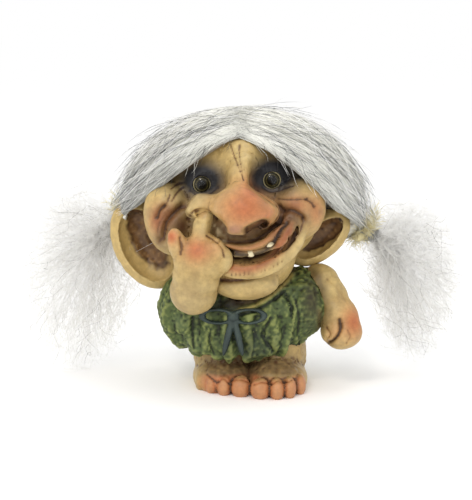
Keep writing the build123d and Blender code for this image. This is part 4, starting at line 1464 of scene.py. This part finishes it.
def build_stage():
    """A pale floor, soft lamps, and the camera."""
    bpy.ops.object.select_all(action="DESELECT")
    bpy.ops.mesh.primitive_plane_add(size=1)
    floor = bpy.context.active_object
    floor.name = "pale_floor"
    floor.scale = (40, 40, 1)
    bpy.ops.object.transform_apply(location=True, rotation=True, scale=True)
    paper = bpy.data.materials.new("white_paper")
    paper.use_nodes = True
    set_inputs(paper.node_tree, paper.node_tree.nodes["Principled BSDF"], {
        "Base Color": (1, 1, 1, 1), "Roughness": 1.0, "Specular IOR Level": 0.0,
    })
    floor.data.materials.append(paper)

    world = bpy.data.worlds.new("soft_studio")
    bpy.context.scene.world = world
    world.use_nodes = True
    sky = world.node_tree.nodes["Background"]
    set_inputs(world.node_tree, sky, {"Color": (1, 1, 1, 1), "Strength": 1.0})
    area_light("key_lamp", (-0.2, -0.42, 0.55), (0, 0, 0.04), 0.2, 1.1, "#FFF8F0")
    area_light("glint_lamp", (-0.06, -0.5, 0.3), (0, 0, 0.05), 0.05, 0.25)
    area_light("top_lamp", (0.1, 0.1, 0.6), (0, 0, 0.04), 0.3, 0.5)

    lens = bpy.data.cameras.new("front_camera")
    camera = bpy.data.objects.new("front_camera", lens)
    bpy.context.scene.collection.objects.link(camera)
    target = Vector(VIEW_TARGET * MM)
    away = Vector(VIEW_BACK)
    camera.location = target + away * VIEW_DISTANCE * MM
    camera.rotation_euler = (-away).to_track_quat("-Z", "Y").to_euler()
    lens.sensor_width = 36.0
    lens.lens = 95.8
    lens.clip_start = 0.01
    bpy.context.scene.camera = camera
    bpy.context.scene.view_settings.view_transform = "Standard"


# Operators and panel


class TROLL_OT_materials(Operator):
    """Makes the paints, glass and wool"""

    bl_idname = "troll.materials"
    bl_label = "Materials"

    def execute(self, context):
        build_materials()
        return {"FINISHED"}


class TROLL_OT_stage(Operator):
    """Makes the floor, the lamps and the camera"""

    bl_idname = "troll.stage"
    bl_label = "Stage"

    def execute(self, context):
        build_stage()
        return {"FINISHED"}


class TROLL_OT_head(Operator):
    """Carves and paints the head"""

    bl_idname = "troll.head"
    bl_label = "Head"

    def execute(self, context):
        build_head()
        return {"FINISHED"}


class TROLL_OT_ears(Operator):
    """Carves and paints the ears"""

    bl_idname = "troll.ears"
    bl_label = "Ears"

    def execute(self, context):
        build_ears()
        return {"FINISHED"}


class TROLL_OT_arms(Operator):
    """Carves and paints both arms"""

    bl_idname = "troll.arms"
    bl_label = "Arms"

    def execute(self, context):
        carve_hand()
        carve_fist()
        return {"FINISHED"}


class TROLL_OT_legs(Operator):
    """Carves and paints the legs and feet"""

    bl_idname = "troll.legs"
    bl_label = "Legs"

    def execute(self, context):
        build_legs()
        return {"FINISHED"}


class TROLL_OT_dress(Operator):
    """Carves and paints the dress"""

    bl_idname = "troll.dress"
    bl_label = "Dress"

    def execute(self, context):
        build_dress()
        return {"FINISHED"}


class TROLL_OT_bow(Operator):
    """Shapes and paints the bow"""

    bl_idname = "troll.bow"
    bl_label = "Bow"

    def execute(self, context):
        build_bow()
        return {"FINISHED"}


class TROLL_OT_teeth(Operator):
    """Shapes and paints the teeth"""

    bl_idname = "troll.teeth"
    bl_label = "Teeth"

    def execute(self, context):
        build_teeth()
        return {"FINISHED"}


class TROLL_OT_eyes(Operator):
    """Makes the glass eyes"""

    bl_idname = "troll.eyes"
    bl_label = "Eyes"

    def execute(self, context):
        build_eyes()
        return {"FINISHED"}


class TROLL_OT_hair(Operator):
    """Combs the parted wool"""

    bl_idname = "troll.hair"
    bl_label = "Hair"

    def execute(self, context):
        build_hair()
        return {"FINISHED"}


class TROLL_OT_ties(Operator):
    """Winds the yarn ties"""

    bl_idname = "troll.ties"
    bl_label = "Ties"

    def execute(self, context):
        build_ties()
        return {"FINISHED"}


class TROLL_OT_pigtails(Operator):
    """Fans out the loose wool"""

    bl_idname = "troll.pigtails"
    bl_label = "Pigtails"

    def execute(self, context):
        build_pigtails()
        return {"FINISHED"}


class TROLL_OT_inner(Operator):
    """Finishes the dowel and the backing skin"""

    bl_idname = "troll.inner"
    bl_label = "Inner pieces"

    def execute(self, context):
        build_inner()
        return {"FINISHED"}


MAKERS = (
    TROLL_OT_materials,
    TROLL_OT_stage,
    TROLL_OT_head,
    TROLL_OT_ears,
    TROLL_OT_arms,
    TROLL_OT_legs,
    TROLL_OT_dress,
    TROLL_OT_bow,
    TROLL_OT_teeth,
    TROLL_OT_eyes,
    TROLL_OT_hair,
    TROLL_OT_ties,
    TROLL_OT_pigtails,
    TROLL_OT_inner,
)


class TROLL_PT_panel(Panel):
    """Lists the figure's pieces, sizes and colours."""

    bl_idname = "TROLL_PT_panel"
    bl_label = "Folk troll figure"
    bl_space_type = "VIEW_3D"
    bl_region_type = "UI"
    bl_category = "Troll"

    def draw(self, context):
        for made in MAKERS:
            self.layout.operator(made.bl_idname)
        for group in (context.scene.troll_sizes, context.scene.troll_colours):
            for name in group.__annotations__:
                self.layout.prop(group, name)


CLASSES = (TrollSizes, TrollColours, *MAKERS, TROLL_PT_panel)


def register():
    for made in CLASSES:
        bpy.utils.register_class(made)
    bpy.types.Scene.troll_sizes = PointerProperty(type=TrollSizes)
    bpy.types.Scene.troll_colours = PointerProperty(type=TrollColours)


def unregister():
    del bpy.types.Scene.troll_colours
    del bpy.types.Scene.troll_sizes
    for made in reversed(CLASSES):
        bpy.utils.unregister_class(made)


def main():
    """Builds the whole figure in order."""
    register()
    bpy.ops.troll.materials()
    bpy.ops.troll.stage()
    bpy.ops.troll.head()
    bpy.ops.troll.ears()
    bpy.ops.troll.arms()
    bpy.ops.troll.legs()
    bpy.ops.troll.dress()
    bpy.ops.troll.bow()
    bpy.ops.troll.teeth()
    bpy.ops.troll.eyes()
    bpy.ops.troll.hair()
    bpy.ops.troll.ties()
    bpy.ops.troll.pigtails()
    bpy.ops.troll.inner()


if __name__ == "__main__":
    main()
